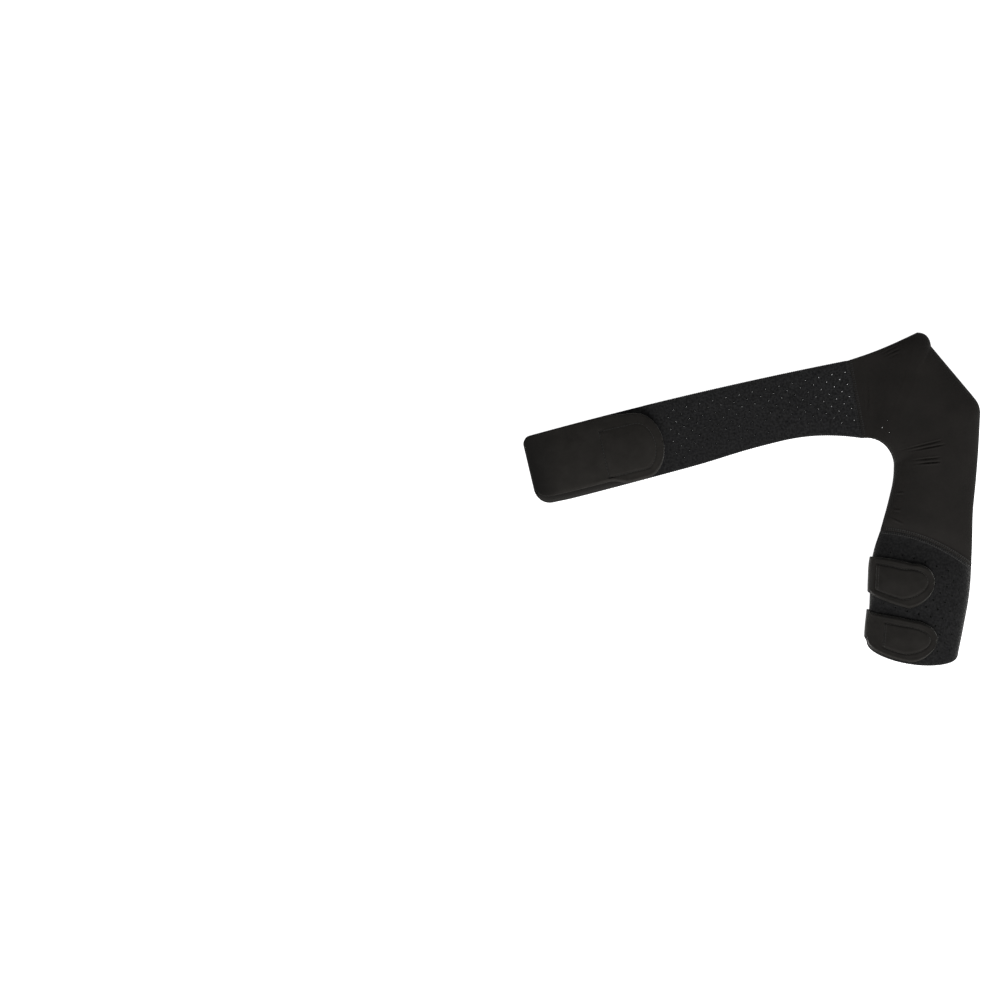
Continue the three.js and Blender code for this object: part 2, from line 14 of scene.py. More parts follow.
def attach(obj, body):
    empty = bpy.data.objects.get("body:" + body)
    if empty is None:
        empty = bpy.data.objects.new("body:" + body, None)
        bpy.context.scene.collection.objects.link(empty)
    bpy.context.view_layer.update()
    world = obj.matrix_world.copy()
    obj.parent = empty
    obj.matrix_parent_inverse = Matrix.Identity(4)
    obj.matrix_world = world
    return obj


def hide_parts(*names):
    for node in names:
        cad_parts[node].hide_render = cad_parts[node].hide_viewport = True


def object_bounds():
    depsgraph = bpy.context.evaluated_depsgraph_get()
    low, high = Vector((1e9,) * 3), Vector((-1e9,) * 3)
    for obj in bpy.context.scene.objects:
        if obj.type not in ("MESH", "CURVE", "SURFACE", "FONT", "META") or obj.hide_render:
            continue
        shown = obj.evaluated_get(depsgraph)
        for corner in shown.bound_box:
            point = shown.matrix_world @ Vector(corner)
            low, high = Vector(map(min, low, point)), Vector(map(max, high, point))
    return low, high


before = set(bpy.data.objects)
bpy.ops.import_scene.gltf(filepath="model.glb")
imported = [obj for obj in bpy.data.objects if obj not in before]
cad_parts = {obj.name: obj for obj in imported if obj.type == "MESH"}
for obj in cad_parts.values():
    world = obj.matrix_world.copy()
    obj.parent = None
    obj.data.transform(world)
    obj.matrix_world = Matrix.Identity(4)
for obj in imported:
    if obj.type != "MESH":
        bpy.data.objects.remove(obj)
cad_low, cad_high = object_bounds()


# View and light
# The brace is seen from straight above, in the right half of the view. It lies on a white
# sheet that glows, so that light shows through its holes, and a soft lamp below the picture's
# lower edge, a little to the right, picks out its folds and rims.
PIXEL = 0.00125
PICTURE_PIXELS = 1001
FRAME_ORIGIN_X, FRAME_ORIGIN_Y = 751.3, 499.0
LENS, SENSOR = 0.200, 0.036
FLOOR_HALF, FLOOR_HEIGHT = 6, -0.0004
PAPER_GLOW, STUDIO_LIGHT = 0.95, 0.35
LAMP_PLACE, LAMP_AIM = (0.75, -2.5, 1.7), (0.05, 0, 0)
LAMP_POWER, LAMP_SIZE = 140, 2.0


def photo_place(x, y):
    """Place in the frame, in metres, of a pixel of the photograph."""
    return np.array([(x - FRAME_ORIGIN_X) * PIXEL, (FRAME_ORIGIN_Y - y) * PIXEL])


def place_object(name, data):
    """New object in the scene."""
    item = bpy.data.objects.new(name, data)
    bpy.context.scene.collection.objects.link(item)
    return item


def new_material(name, roughness, gloss):
    """New material with its node tree and its shader."""
    material = bpy.data.materials.new(name)
    material.use_nodes = True
    shader = material.node_tree.nodes["Principled BSDF"]
    shader.inputs["Roughness"].default_value = roughness
    shader.inputs["Specular IOR Level"].default_value = gloss
    return material, material.node_tree, shader


camera_data = bpy.data.cameras.new("camera")
camera_data.lens = LENS * 1000
camera_data.sensor_width = SENSOR * 1000
camera = place_object("camera", camera_data)
camera_place = photo_place(PICTURE_PIXELS / 2, PICTURE_PIXELS / 2)
camera_height = PICTURE_PIXELS * PIXEL * LENS / SENSOR
camera.location = (*camera_place, camera_height)
bpy.context.scene.camera = camera

floor_mesh = bpy.data.meshes.new("floor")
floor_corners = [(-FLOOR_HALF, -FLOOR_HALF), (FLOOR_HALF, -FLOOR_HALF),
                 (FLOOR_HALF, FLOOR_HALF), (-FLOOR_HALF, FLOOR_HALF)]
floor_mesh.from_pydata([(*corner, FLOOR_HEIGHT) for corner in floor_corners], [], [(0, 1, 2, 3)])
floor = place_object("floor", floor_mesh)
paper, _, paper_shader = new_material("white paper", 1.0, 0.0)
paper_shader.inputs["Base Color"].default_value = (0.8, 0.8, 0.8, 1)
paper_shader.inputs["Emission Color"].default_value = (1, 1, 1, 1)
paper_shader.inputs["Emission Strength"].default_value = PAPER_GLOW
floor_mesh.materials.append(paper)

lamp_data = bpy.data.lights.new("soft lamp", "AREA")
lamp_data.energy = LAMP_POWER
lamp_data.size = LAMP_SIZE
lamp = place_object("soft lamp", lamp_data)
lamp.location = LAMP_PLACE
lamp.rotation_euler = (Vector(LAMP_AIM) - lamp.location).to_track_quat("-Z", "Y").to_euler()

world = bpy.data.worlds.new("studio")
world.use_nodes = True
sky = world.node_tree.nodes["Background"]
sky.inputs["Color"].default_value = (1, 1, 1, 1)
sky.inputs["Strength"].default_value = STUDIO_LIGHT
bpy.context.scene.world = world
bpy.context.scene.view_settings.view_transform = "Standard"


# Shoulder panels
# The front and the back of the shoulder cap and the sleeve are two cut sheets of neoprene
# with brown-black jersey on both faces. They are sewn edge to edge along the ridge and both
# sides of the arm, and open at the neck, at the armpit and at the two cross seams.
WALL = 0.003
SEAM_GAP = 0.0003
SEAM_LAP = 0.00005
SEAM_BAND = 0.0045
RIM_RADIUS = 0.0009
MAP_SCALE = 10
NECK_RUN, NECK_RISE, NECK_SAG = 0.086, 0.035, 0.002
TIP_RUN, TIP_DROP, TIP_SOFTNESS = 0.0175, 0.017, 0.1
RIDGE_LENGTH, RIDGE_ANGLE = 0.0855, math.radians(50)
CAP_RADIUS = 0.028
ARMPIT_DROP, ARMPIT_RADIUS, ARMPIT_SWEEP = 0.065, 0.034, math.radians(99)
SLEEVE_WIDTH = 0.104
SLEEVE_OUTER_LENGTH, SLEEVE_OUTER_LEAN = 0.192, 0.011
SLEEVE_INNER_LENGTH, SLEEVE_INNER_LEAN = 0.082, 0.017
SEAM_HEIGHT, SHOULDER_HEIGHT, SLEEVE_HEIGHT = 0.022, 0.032, 0.028
LYING_HEIGHT = 2 * WALL + SEAM_GAP
MEET_SHARE, FRONT_ROUNDNESS, BACK_ROUNDNESS, BACK_FLATNESS = 0.38, 0.7, 0.5, 1.12
EDGE_DROOP = 0.08
VALLEY_DEPTH, VALLEY_REACH, VALLEY_REACH_CUFF = 0.0042, 0.015, 0.021
BAND_RISE = 0.0009
PANEL_WAVE, PANEL_WAVE_SIZE = 0.0006, 0.05
CUFF_SEAM_BOW, SEAM_BOW_ROUNDNESS = 0.011, 0.8
STRAP_SLOPE = math.radians(13.3)
STRAP_AXIS = np.array([-math.cos(STRAP_SLOPE), -math.sin(STRAP_SLOPE)])
STRAP_SIDE = np.array([math.sin(STRAP_SLOPE), -math.cos(STRAP_SLOPE)])

# Columns: round the outer edge (neck 0 to 1, tip to 2, ridge to 3, cap to 4), share of the
# armpit's arc, rise from seam to shoulder height, gape of the neck edge and of the armpit
SHOULDER_TABLE = np.array([
    [0.00, 0.00, 0.00, 1.00, 1.00],
    [0.28, 0.08, 0.25, 0.92, 1.00],
    [0.55, 0.20, 0.50, 0.76, 1.00],
    [0.80, 0.32, 0.75, 0.50, 0.97],
    [1.00, 0.42, 0.90, 0.24, 0.92],
    [1.35, 0.46, 0.95, 0.12, 0.89],
    [1.70, 0.50, 0.98, 0.04, 0.86],
    [2.00, 0.54, 1.00, 0.00, 0.82],
    [2.25, 0.61, 1.00, 0.00, 0.75],
    [2.50, 0.69, 1.00, 0.00, 0.64],
    [2.75, 0.77, 1.00, 0.00, 0.50],
    [3.00, 0.86, 1.00, 0.00, 0.33],
    [3.50, 0.93, 1.00, 0.00, 0.16],
    [4.00, 1.00, 1.00, 0.00, 0.00],
])

# Columns: share of the length, shares of the outer and of the inner lean
SLEEVE_TABLE = np.array([
    [0.00, 0.00, 0.00],
    [0.13, 0.11, 0.02],
    [0.26, 0.24, 0.09],
    [0.45, 0.50, 0.29],
    [0.65, 0.82, 0.53],
    [0.82, 0.89, 0.76],
    [1.00, 1.00, 1.00],
])


def through(table, column, at):
    """Smooth line through one column of a table: between two rows it is the cubic whose
    slope at each row is that of the rows beside it."""
    rows, values = table[:, 0], table[:, column]
    slopes = np.gradient(values, rows)
    row = np.clip(np.searchsorted(rows, at, side="right") - 1, 0, len(rows) - 2)
    gap = rows[row + 1] - rows[row]
    share = np.clip((at - rows[row]) / gap, 0, 1)
    rest = 1 - share
    return (rest**2 * (1 + 2 * share) * values[row] + share**2 * (1 + 2 * rest) * values[row + 1]
            + gap * share * rest * (rest * slopes[row] - share * slopes[row + 1]))


def plan(x, y):
    """Points in plan from their two coordinates."""
    return np.stack(np.broadcast_arrays(x, y), axis=-1)


tip_start = np.array([NECK_RUN, NECK_RISE])
tip_end = tip_start + [TIP_RUN, -TIP_DROP]
tip_pull = np.array([tip_end[0] - TIP_SOFTNESS * TIP_RUN, tip_start[1]])
ridge_end = tip_end + RIDGE_LENGTH * np.array([math.cos(RIDGE_ANGLE), -math.sin(RIDGE_ANGLE)])
cap_centre = ridge_end - CAP_RADIUS * np.array([math.sin(RIDGE_ANGLE), math.cos(RIDGE_ANGLE)])
sleeve_top = cap_centre + [CAP_RADIUS, 0]
seam_top = np.array([cad_high.x - sleeve_top[0], cad_high.y - NECK_RISE])


def shoulder_outer(around):
    """Outer edge in plan: along the neck a chord that sags as a sine, round the tip a
    quadratic Bezier, straight down the ridge, and round the cap an arc."""
    neck = np.clip(around, 0, 1)
    tip = np.clip(around - 1, 0, 1)[..., None]
    ridge = np.clip(around - 2, 0, 1)[..., None]
    angle = (math.pi / 2 - RIDGE_ANGLE) * (1 - np.clip(around - 3, 0, 1))
    on_neck = tip_start * neck[..., None] - plan(0, NECK_SAG * np.sin(np.pi * neck))
    on_tip = tip_start * (1 - tip)**2 + 2 * tip_pull * tip * (1 - tip) + tip_end * tip**2
    on_ridge = tip_end * (1 - ridge) + ridge_end * ridge
    on_cap = cap_centre + CAP_RADIUS * plan(np.cos(angle), np.sin(angle))
    part = around[..., None]
    return np.select([part <= 1, part <= 2, part <= 3], [on_neck, on_tip, on_ridge], on_cap)


def sleeve_outer(at):
    """Outer edge of the sleeve: straight down the arm, leaning in as its table says."""
    lean = SLEEVE_OUTER_LEAN * through(SLEEVE_TABLE, 1, at)
    return sleeve_top - plan(lean, at * SLEEVE_OUTER_LENGTH)


armpit_level = sleeve_outer(np.array(ARMPIT_DROP / SLEEVE_OUTER_LENGTH))
armpit_end = armpit_level - [SLEEVE_WIDTH, 0]
armpit_centre = armpit_end - [ARMPIT_RADIUS, 0]


def armpit(share):
    """Armpit edge: an arc from the strap seam round to the inner side of the sleeve."""
    angle = ARMPIT_SWEEP * (1 - share)
    return armpit_centre + ARMPIT_RADIUS * plan(np.cos(angle), np.sin(angle))


def sleeve_inner(at):
    """Inner edge of the sleeve."""
    lean = SLEEVE_INNER_LEAN * through(SLEEVE_TABLE, 2, at)
    return armpit_end - plan(lean, at * SLEEVE_INNER_LENGTH)


def make_rib(inner, outer, **values):
    """One line across the brace for each entry of the arrays, from its inner to its outer edge."""
    across = outer - inner
    width = np.linalg.norm(across, axis=-1)
    return dict(inner=inner, width=width, direction=across / width[..., None], **values)


def shoulder_rib(around):
    """Ribs of the shoulder, which fan out from the armpit to the outer edge."""
    rise = np.clip(through(SHOULDER_TABLE, 2, around), 0, 1)
    return make_rib(
        armpit(np.clip(through(SHOULDER_TABLE, 1, around), 0, 1)), shoulder_outer(around),
        crown=SEAM_HEIGHT + (SHOULDER_HEIGHT - SEAM_HEIGHT) * rise,
        outer_gape=np.clip(through(SHOULDER_TABLE, 3, around), 0, 1),
        inner_gape=np.clip(through(SHOULDER_TABLE, 4, around), 0, 1),
        bow=np.zeros_like(around), bow_roundness=np.ones_like(around),
        above_cuff=np.full_like(around, SLEEVE_OUTER_LENGTH))


def sleeve_rib(at):
    """Ribs of the sleeve, whose line bows up towards the cuff seam."""
    ease = at * at * (3 - 2 * at)
    shut = np.zeros_like(at)
    return make_rib(
        sleeve_inner(at), sleeve_outer(at),
        crown=SHOULDER_HEIGHT + (SLEEVE_HEIGHT - SHOULDER_HEIGHT) * ease,
        outer_gape=shut, inner_gape=shut,
        bow=CUFF_SEAM_BOW * at * at, bow_roundness=np.full_like(at, SEAM_BOW_ROUNDNESS),
        above_cuff=(1 - at) * (SLEEVE_OUTER_LENGTH + SLEEVE_INNER_LENGTH) / 2)


def join_ribs(*groups):
    """The ribs of several stretches as one run."""
    return {key: np.concatenate([group[key] for group in groups]) for key in groups[0]}


def rib_place(rib, distance):
    """Place in plan along a rib, moved along the arm by a sine's power times its bow."""
    place = rib["inner"] + rib["direction"] * distance[..., None]
    share = np.clip(distance / rib["width"], 0, 1)
    bow = rib["bow"] * np.sin(np.pi * share)**rib["bow_roundness"]
    return place + plan(0, bow)


def panel_point(rib, across, layer, depth):
    """Point of a panel: across goes from 0 to 1 as half a turn. At a closed edge the height is a
    sine's power between the line where both layers meet and the crown; at an open one the front
    droops a little and the back lies flat. Depth goes from the outer face, 0, to the inner."""
    turn = np.pi * across
    gape = np.where(across < 0.5, rib["inner_gape"], rib["outer_gape"])
    half = rib["width"] / 2
    inset = depth * np.sqrt(1 - gape**2)
    place = rib_place(rib, half - (half - inset) * np.cos(turn))
    swell = np.sin(turn).clip(0, 1)
    crown = rib["crown"]
    front_meet = MEET_SHARE * crown + SEAM_GAP / 2
    back_meet = MEET_SHARE * crown - SEAM_GAP / 2
    if layer == "front":
        closed = front_meet + (crown - depth - front_meet) * swell**FRONT_ROUNDNESS
        opened = crown - depth - EDGE_DROOP * (crown - LYING_HEIGHT) * (1 - swell)
    else:
        flat = np.minimum(1, BACK_FLATNESS * swell**BACK_ROUNDNESS)
        closed = back_meet - (back_meet - depth) * flat
        opened = depth + 0 * swell
    height = closed + (opened - closed) * gape
    return np.concatenate([place + seam_top, height[..., None]], axis=-1)


def edge_stations(divisions):
    """Stations from 0 to 1 that crowd towards both ends as a power does."""
    even = np.linspace(0, 1, divisions + 1)
    near = 0.5 * (2 * np.minimum(even, 1 - even))**1.5
    return np.where(even < 0.5, near, 1 - near)


def rim_distance(points):
    """Shortest way over a grid of points to its rim, along the rows or the columns."""
    def from_ends(steps):
        walked = np.concatenate([np.zeros_like(steps[:1]), np.cumsum(steps, axis=0)])
        return np.minimum(walked, walked[-1] - walked)
    down = from_ends(np.linalg.norm(np.diff(points, axis=0), axis=-1))
    over = from_ends(np.linalg.norm(np.diff(points, axis=1), axis=-1).T).T
    return np.minimum(down, over)


def soften_rim(outer, inner, distance, radius=RIM_RADIUS):
    """Rounds a cut edge: near the rim both faces draw together as the side of a circle does."""
    left = np.clip(radius - distance, 0, radius)
    drop = (radius - np.sqrt(radius**2 - left**2))[..., None]
    across = inner - outer
    across = across / np.maximum(np.linalg.norm(across, axis=-1, keepdims=True), 1e-9)
    return outer + across * drop, inner - across * drop


def make_piece(name, points, faces, uv, wall_faces=0):
    """Mesh object with its faces turned outwards by the sign of its volume, smooth up to 40
    degrees, its UV map in decimetres. The last faces, its cut walls, take the second material."""
    mesh = bpy.data.meshes.new(name)
    mesh.from_pydata(points.tolist(), [], faces)
    corners = np.zeros(len(mesh.loops), np.int32)
    mesh.loops.foreach_get("vertex_index", corners)
    layer = mesh.uv_layers.new(name="cloth")
    layer.data.foreach_set("uv", (MAP_SCALE * uv[corners]).astype(np.float32).ravel())
    first = np.array([face[0] for face in faces])
    second = np.array([face[1] for face in faces])
    third = np.array([face[2] for face in faces])
    if np.einsum("ij,ij->", points[first], np.cross(points[second], points[third])) < 0:
        mesh.flip_normals()
    if wall_faces:
        which = np.zeros(len(faces), np.int32)
        which[-wall_faces:] = 1
        mesh.polygons.foreach_set("material_index", which)
    mesh.shade_smooth()
    mesh.set_sharp_from_angle(angle=math.radians(40))
    return place_object(name, mesh)


def grid_sheet(name, outer, inner):
    """Closed sheet between two grids of points: both faces, and walls round their rim."""
    rows, columns = outer.shape[:2]
    number = np.arange(rows * columns).reshape(rows, columns)
    far = number + rows * columns
    top = np.stack([number[:-1, :-1], number[1:, :-1], number[1:, 1:], number[:-1, 1:]], axis=-1)
    ring = np.concatenate([number[0], number[1:, -1], number[-1, -2::-1], number[-2:0:-1, 0]])
    after = np.roll(ring, -1)
    size = rows * columns
    walls = np.stack([ring, after, after + size, ring + size], axis=-1)
    faces = np.concatenate([top.reshape(-1, 4), far[0, 0] + top.reshape(-1, 4)[:, ::-1], walls])
    along = np.concatenate([[0], np.cumsum(np.linalg.norm(
        np.diff(outer[:, columns // 2], axis=0), axis=-1))])
    over = np.concatenate([[0], np.cumsum(np.linalg.norm(
        np.diff(outer[rows // 2], axis=0), axis=-1))])
    uv = plan(over[None, :], along[:, None]).reshape(-1, 2)
    points = np.concatenate([outer.reshape(-1, 3), inner.reshape(-1, 3)])
    return make_piece(name, points, faces.tolist(), np.concatenate([uv, uv]), len(walls))


# Creases of the front below the armpit and along the neck, and last three small ridges at the
# sleeve's inner edge: where each starts and ends in the photograph, its depth and its width
CREASES = [
    (photo_place(886, 453.4), photo_place(940.5, 440.4), 0.0008, 0.0009),
    (photo_place(897, 453.2), photo_place(943.5, 444.4), 0.0010, 0.0009),
    (photo_place(902, 461.0), photo_place(938.5, 457.6), 0.0009, 0.0009),
    (photo_place(907, 464.2), photo_place(938.5, 462.0), 0.0014, 0.0009),
    (photo_place(872, 358.5), photo_place(897, 345.8), 0.0005, 0.0007),
    (photo_place(876, 360.0), photo_place(899, 349.0), 0.0006, 0.0007),
    (photo_place(880, 362.0), photo_place(899, 353.0), 0.0004, 0.0007),
    (photo_place(864, 371), photo_place(867, 410), 0.0008, 0.0016),
    (photo_place(889, 493.5), photo_place(903, 493), -0.0006, 0.0012),
    (photo_place(888, 509.5), photo_place(899, 510.5), -0.0006, 0.0012),
    (photo_place(885, 516), photo_place(902, 524.5), -0.0008, 0.0012),
    (photo_place(925, 343), photo_place(931, 363), -0.0004, 0.0016),
]


def crease(place, start, end, depth, width):
    """Depth of a fold line: a narrow valley with a low swell on each side, deepest
    three quarters of the way along and gone at both ends."""
    line = end - start
    length = np.linalg.norm(line)
    offset = place - start
    along = offset @ line / length**2
    beside = (offset[..., 0] * line[1] - offset[..., 1] * line[0]) / length
    fade = np.clip(1.3 * np.sin(np.pi * np.clip(along, 0, 1)**2.4), 0, 1)
    shape = np.exp(-(beside / width)**2) - 0.45 * np.exp(-((np.abs(beside) - 2 * width) / width)**2)
    return depth * fade * shape


def unevenness(place, size):
    """Slow rise and fall of cloth that has been handled: three sines across each other."""
    x, y = place[..., 0] / size, place[..., 1] / size
    return (np.sin(1.3 * x + 2.1 * y + 0.4) + 0.7 * np.sin(2.9 * x - 1.7 * y + 2.0)
            + 0.5 * np.sin(4.7 * y + 1.1 * x + 4.1)) / 2.2


def seam_relief(above_cuff):
    """Relief beside the cuff's cross seam: the stitches pull the cloth down in a valley, wider
    on the cuff's side, and its two allowances stand up again as a flat band."""
    reach = np.where(above_cuff < 0, VALLEY_REACH_CUFF, VALLEY_REACH)
    valley = -VALLEY_DEPTH * np.exp(-(above_cuff / reach)**2)
    band = BAND_RISE * np.exp(-(above_cuff / SEAM_BAND)**6)
    return valley + band


def front_relief(rib, across, place):
    """Relief of the front of shoulder, sleeve and cuff: it fades out at the closed edges."""
    lift = PANEL_WAVE * unevenness(place, PANEL_WAVE_SIZE) + seam_relief(rib["above_cuff"])
    lift = lift - sum(crease(place, *one) for one in CREASES)
    return lift * np.minimum(1, 14 * across * (1 - across))


def worked_point(rib, across, layer, depth):
    """Point of a panel, the front one with its relief, a fifth less on the inner face."""
    point = panel_point(rib, across, layer, depth)
    if layer == "front":
        point[..., 2] += front_relief(rib, across, point[..., :2]) * (1 - 0.2 * depth / WALL)
    return point


def panel_sheet(name, rib, layer, columns):
    """One panel as a grid of ribs and stations."""
    across = edge_stations(columns)[None, :]
    outer = worked_point(rib, across, layer, 0.0)
    inner = worked_point(rib, across, layer, WALL)
    outer, inner = soften_rim(outer, inner, rim_distance(outer))
    return grid_sheet(name, outer, inner)


def add_node(tree, kind, inputs, **settings):
    """New node of a kind with its settings. Each input takes its value, or is linked to the
    socket that it is given."""
    node = tree.nodes.new(f"ShaderNode{kind}")
    for setting, value in settings.items():
        setattr(node, setting, value)
    for socket, value in inputs.items():
        if isinstance(value, bpy.types.NodeSocket):
            tree.links.new(value, node.inputs[socket])
        else:
            node.inputs[socket].default_value = value
    return node


def raise_bumps(tree, shader, height, distance, strength=1.0):
    """Bump of the shader by a height socket."""
    bump = add_node(tree, "Bump", {"Distance": distance, "Strength": strength, "Height": height})
    tree.links.new(bump.outputs["Normal"], shader.inputs["Normal"])


def knit(name, dark, light, roughness, sheen, pitch, depth, mottle, contrast=0.19, tail=None):
    """Knitted face of neoprene: fine rows of loops at a pitch on the piece's UV map, a fuzz of
    noise over them, and a colour that drifts between two shades in patches. A wave texture
    turns through 20 radians a unit. A tail gives another colour, the two places on the map
    between which it takes over, and the map's axis."""
    material, tree, shader = new_material(name, roughness, 0.12)
    where = add_node(tree, "TexCoord", {}).outputs
    drift = add_node(tree, "TexNoise", {"Scale": mottle, "Detail": 6, "Roughness": 0.62,
                                        "Vector": where["Object"]})
    shade = add_node(tree, "ValToRGB", {"Fac": drift.outputs["Fac"]})
    ends = shade.color_ramp.elements
    ends[0].position, ends[0].color = 0.51 - contrast, (*dark, 1)
    ends[1].position, ends[1].color = 0.51 + contrast, (*light, 1)
    colour = shade.outputs["Color"]
    # A tail lays a second colour over one end of a piece's map. On the chest tab's loop fabric it
    # is painted shade: the cloth darkens towards the tab's folded end, which falls away from the
    # lamp.
    if tail:
        tail_colour, start, end, axis = tail
        apart = add_node(tree, "SeparateXYZ", {"Vector": where["UV"]})
        share = add_node(tree, "MapRange", {"From Min": start, "From Max": end,
                                            "Value": apart.outputs[axis]})
        blend = add_node(tree, "Mix", {0: share.outputs["Result"], 6: colour,
                                       7: (*tail_colour, 1)}, data_type="RGBA")
        colour = blend.outputs[2]
    tree.links.new(colour, shader.inputs["Base Color"])
    waves = []
    for turned in (0.0, math.pi / 2):
        turn = add_node(tree, "Mapping", {"Rotation": (0, 0, turned), "Vector": where["UV"]})
        rows = add_node(tree, "TexWave", {"Scale": 2 * math.pi / (20 * MAP_SCALE * pitch),
                                          "Distortion": 0.6, "Vector": turn.outputs["Vector"]})
        waves.append(rows.outputs["Fac"])
    loops = add_node(tree, "Math", {0: waves[0], 1: waves[1]}, operation="MULTIPLY")
    fuzz = add_node(tree, "TexNoise", {"Scale": 900, "Detail": 4, "Vector": where["Object"]})
    height = add_node(tree, "Math", {0: loops.outputs["Value"], 1: fuzz.outputs["Fac"]},
                      operation="ADD")
    raise_bumps(tree, shader, height.outputs["Value"], depth, 0.6)
    shader.inputs["Sheen Weight"].default_value = sheen
    shader.inputs["Sheen Roughness"].default_value = 0.35
    shader.inputs["Sheen Tint"].default_value = (0.75, 0.74, 0.72, 1)
    return material


def dress(piece, cloth, edge, node):
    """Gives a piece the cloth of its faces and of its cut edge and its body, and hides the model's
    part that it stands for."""
    piece.data.materials.append(cloth)
    piece.data.materials.append(edge)
    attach(piece, "root")
    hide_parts(node)


jersey = knit("brown-black jersey", (0.0096, 0.0087, 0.0078), (0.0136, 0.0121, 0.0109),
              0.85, 0.05, 0.0009, 0.00022, 28.0)
cut_foam = knit("cut neoprene edge", (0.012, 0.012, 0.012), (0.022, 0.022, 0.022),
                0.95, 0.05, 0.0006, 0.0003, 300.0)

panel_ribs = join_ribs(
    shoulder_rib(np.concatenate([[0, 0.003, 0.008], np.linspace(0.014, 1, 56)])),
    shoulder_rib(np.linspace(1, 2, 22)[1:]),
    shoulder_rib(np.linspace(2, 3, 44)[1:]),
    shoulder_rib(np.linspace(3, 4, 30)[1:]),
    sleeve_rib(np.linspace(0, 0.25, 84)[1:]),
    sleeve_rib(np.concatenate([np.linspace(0.25, 0.988, 74)[1:], [0.993, 0.997, 1]])))
panel_ribs = {key: value[:, None] for key, value in panel_ribs.items()}
toward_cuff = np.linspace(0, 1, len(panel_ribs["width"]))[:, None, None]
panel_ribs["inner"] = panel_ribs["inner"] + SEAM_LAP * (
    (1 - toward_cuff) * STRAP_AXIS + toward_cuff * np.array([0, -1]))

shoulder_front = panel_sheet("shoulder_front_panel", panel_ribs, "front", 130)
shoulder_back = panel_sheet("shoulder_back_panel", panel_ribs, "back", 72)

# Three holes of the perforation run past the seam into the corner by the armpit
CORNER_HOLES = [photo_place(881, 428), photo_place(888, 433), photo_place(886, 421)]
CORNER_HOLE_RADIUS, CORNER_HEIGHT = 0.0007, 0.018
PIN_SIDES, PIN_HEIGHTS = 10, (-0.01, 0.05)
CORNER_SLIP = plan(0, [0.0004, 0.0006, 0.0010])


def seen_through(place, height):
    """Where the line of sight through a place at a height meets the ground."""
    return place + (place - camera_place) * (height / (camera_height - height))[..., None]


def bore(piece, places):
    """Punches round holes through a sheet with one cutter of ten-sided pins."""
    turn = np.linspace(0, 2 * np.pi, PIN_SIDES, endpoint=False)
    ring = CORNER_HOLE_RADIUS * plan(np.cos(turn), np.sin(turn))
    side = range(PIN_SIDES)
    points, faces = [], []
    for place in places:
        first = len(points)
        for height in PIN_HEIGHTS:
            points += [(*spot, height) for spot in ring + place]
        low = [first + i for i in side]
        high = [first + PIN_SIDES + i for i in side]
        faces += [low[::-1], high]
        faces += [[low[i - 1], low[i], high[i], high[i - 1]] for i in side]
    mesh = bpy.data.meshes.new("pins")
    mesh.from_pydata(points, [], faces)
    pins = place_object("pins", mesh)
    cut = piece.modifiers.new("punch", "BOOLEAN")
    cut.object = pins
    cut.solver = "EXACT"
    view = bpy.context.evaluated_depsgraph_get()
    punched = bpy.data.meshes.new_from_object(piece.evaluated_get(view))
    piece.modifiers.clear()
    piece.data = punched
    bpy.data.objects.remove(pins)


bore(shoulder_front, CORNER_HOLES)
bore(shoulder_back,
     seen_through(np.array(CORNER_HOLES), np.full(len(CORNER_HOLES), CORNER_HEIGHT)) + CORNER_SLIP)
for panel, node in ((shoulder_front, "shoulder_front"), (shoulder_back, "shoulder_back")):
    panel.data.materials.clear()
    dress(panel, jersey, cut_foam, node)


# Chest strap
# Two layers of perforated neoprene from the shoulder seam to the folded end, open between
# them for the chest. Rows of punched holes run along them, and where the holes of both
# layers meet, the light of what they lie on comes through.
STRAP_LENGTH, STRAP_WIDTH, STRAP_BOW = 0.4185, 0.090, 0.004
END_RADIUS_TOP, END_RADIUS_BOTTOM = 0.010, 0.020
FLARE_LENGTH, SETTLE_LENGTH, FRONT_END_BACK = 0.105, 0.150, 0.0042
STRAP_HEIGHT = 0.015
HOLE_RADIUS = 0.00085
HOLE_PITCH, HOLE_ROW_PITCH = 0.0169, 0.0076
HOLE_EDGE_MARGIN, HOLE_SEAM_MARGIN, HOLE_TAB_MARGIN = 0.0134, 0.007, 0.005
HOLE_SIDES = 16
RIM_INSETS = (0.0003, 0.0008, 0.0016)
STRAP_NET_STEP, STRAP_NET_COLUMNS = 0.0026, 33
TAB_LENGTH, TAB_TIP_LENGTH = 0.171, 0.030
STRAP_WAVE, STRAP_WAVE_SIZE = 0.0005, 0.035
BORDER_SWELL, BORDER_START, BORDER_OPENING = 0.0025, 0.290, 0.03
BORDER_RISE, BORDER_LEVEL, BORDER_UNDER_TAB = 0.0050, 0.0110, 0.0170
TAB_DENT, PRESS_START, PRESS_REACH = 0.0004, 0.0005, 0.0100
FOLD_RADIUS = (3 * WALL + 2 * SEAM_GAP) / 2
FOLD_START = STRAP_LENGTH - FOLD_RADIUS

# Columns: share of the length, share of the width, lift of the front layer
STRAP_TABLE = np.array([
    [0.00, 0.900, 1.00],
    [0.20, 0.902, 1.00],
    [0.34, 0.922, 1.00],
    [0.50, 0.973, 1.00],
    [0.62, 0.990, 0.97],
    [0.70, 0.997, 0.78],
    [0.78, 1.000, 0.48],
    [0.85, 1.000, 0.20],
    [0.91, 0.995, 0.03],
    [0.95, 0.985, 0.00],
    [1.00, 0.975, 0.00],
])

seam_bottom = armpit(np.array(0.0))
seam_skew = seam_bottom @ STRAP_AXIS
seam_width = seam_bottom @ STRAP_SIDE


def ease_off(s, length):
    """Square of what is left of a length."""
    return np.maximum(0, 1 - s / length)**2


def corner_inset(s, radius):
    """How far a round corner at the strap's end draws the edge in."""
    left = np.clip(radius - (STRAP_LENGTH - s), 0, radius)
    return radius - np.sqrt(radius**2 - left**2)


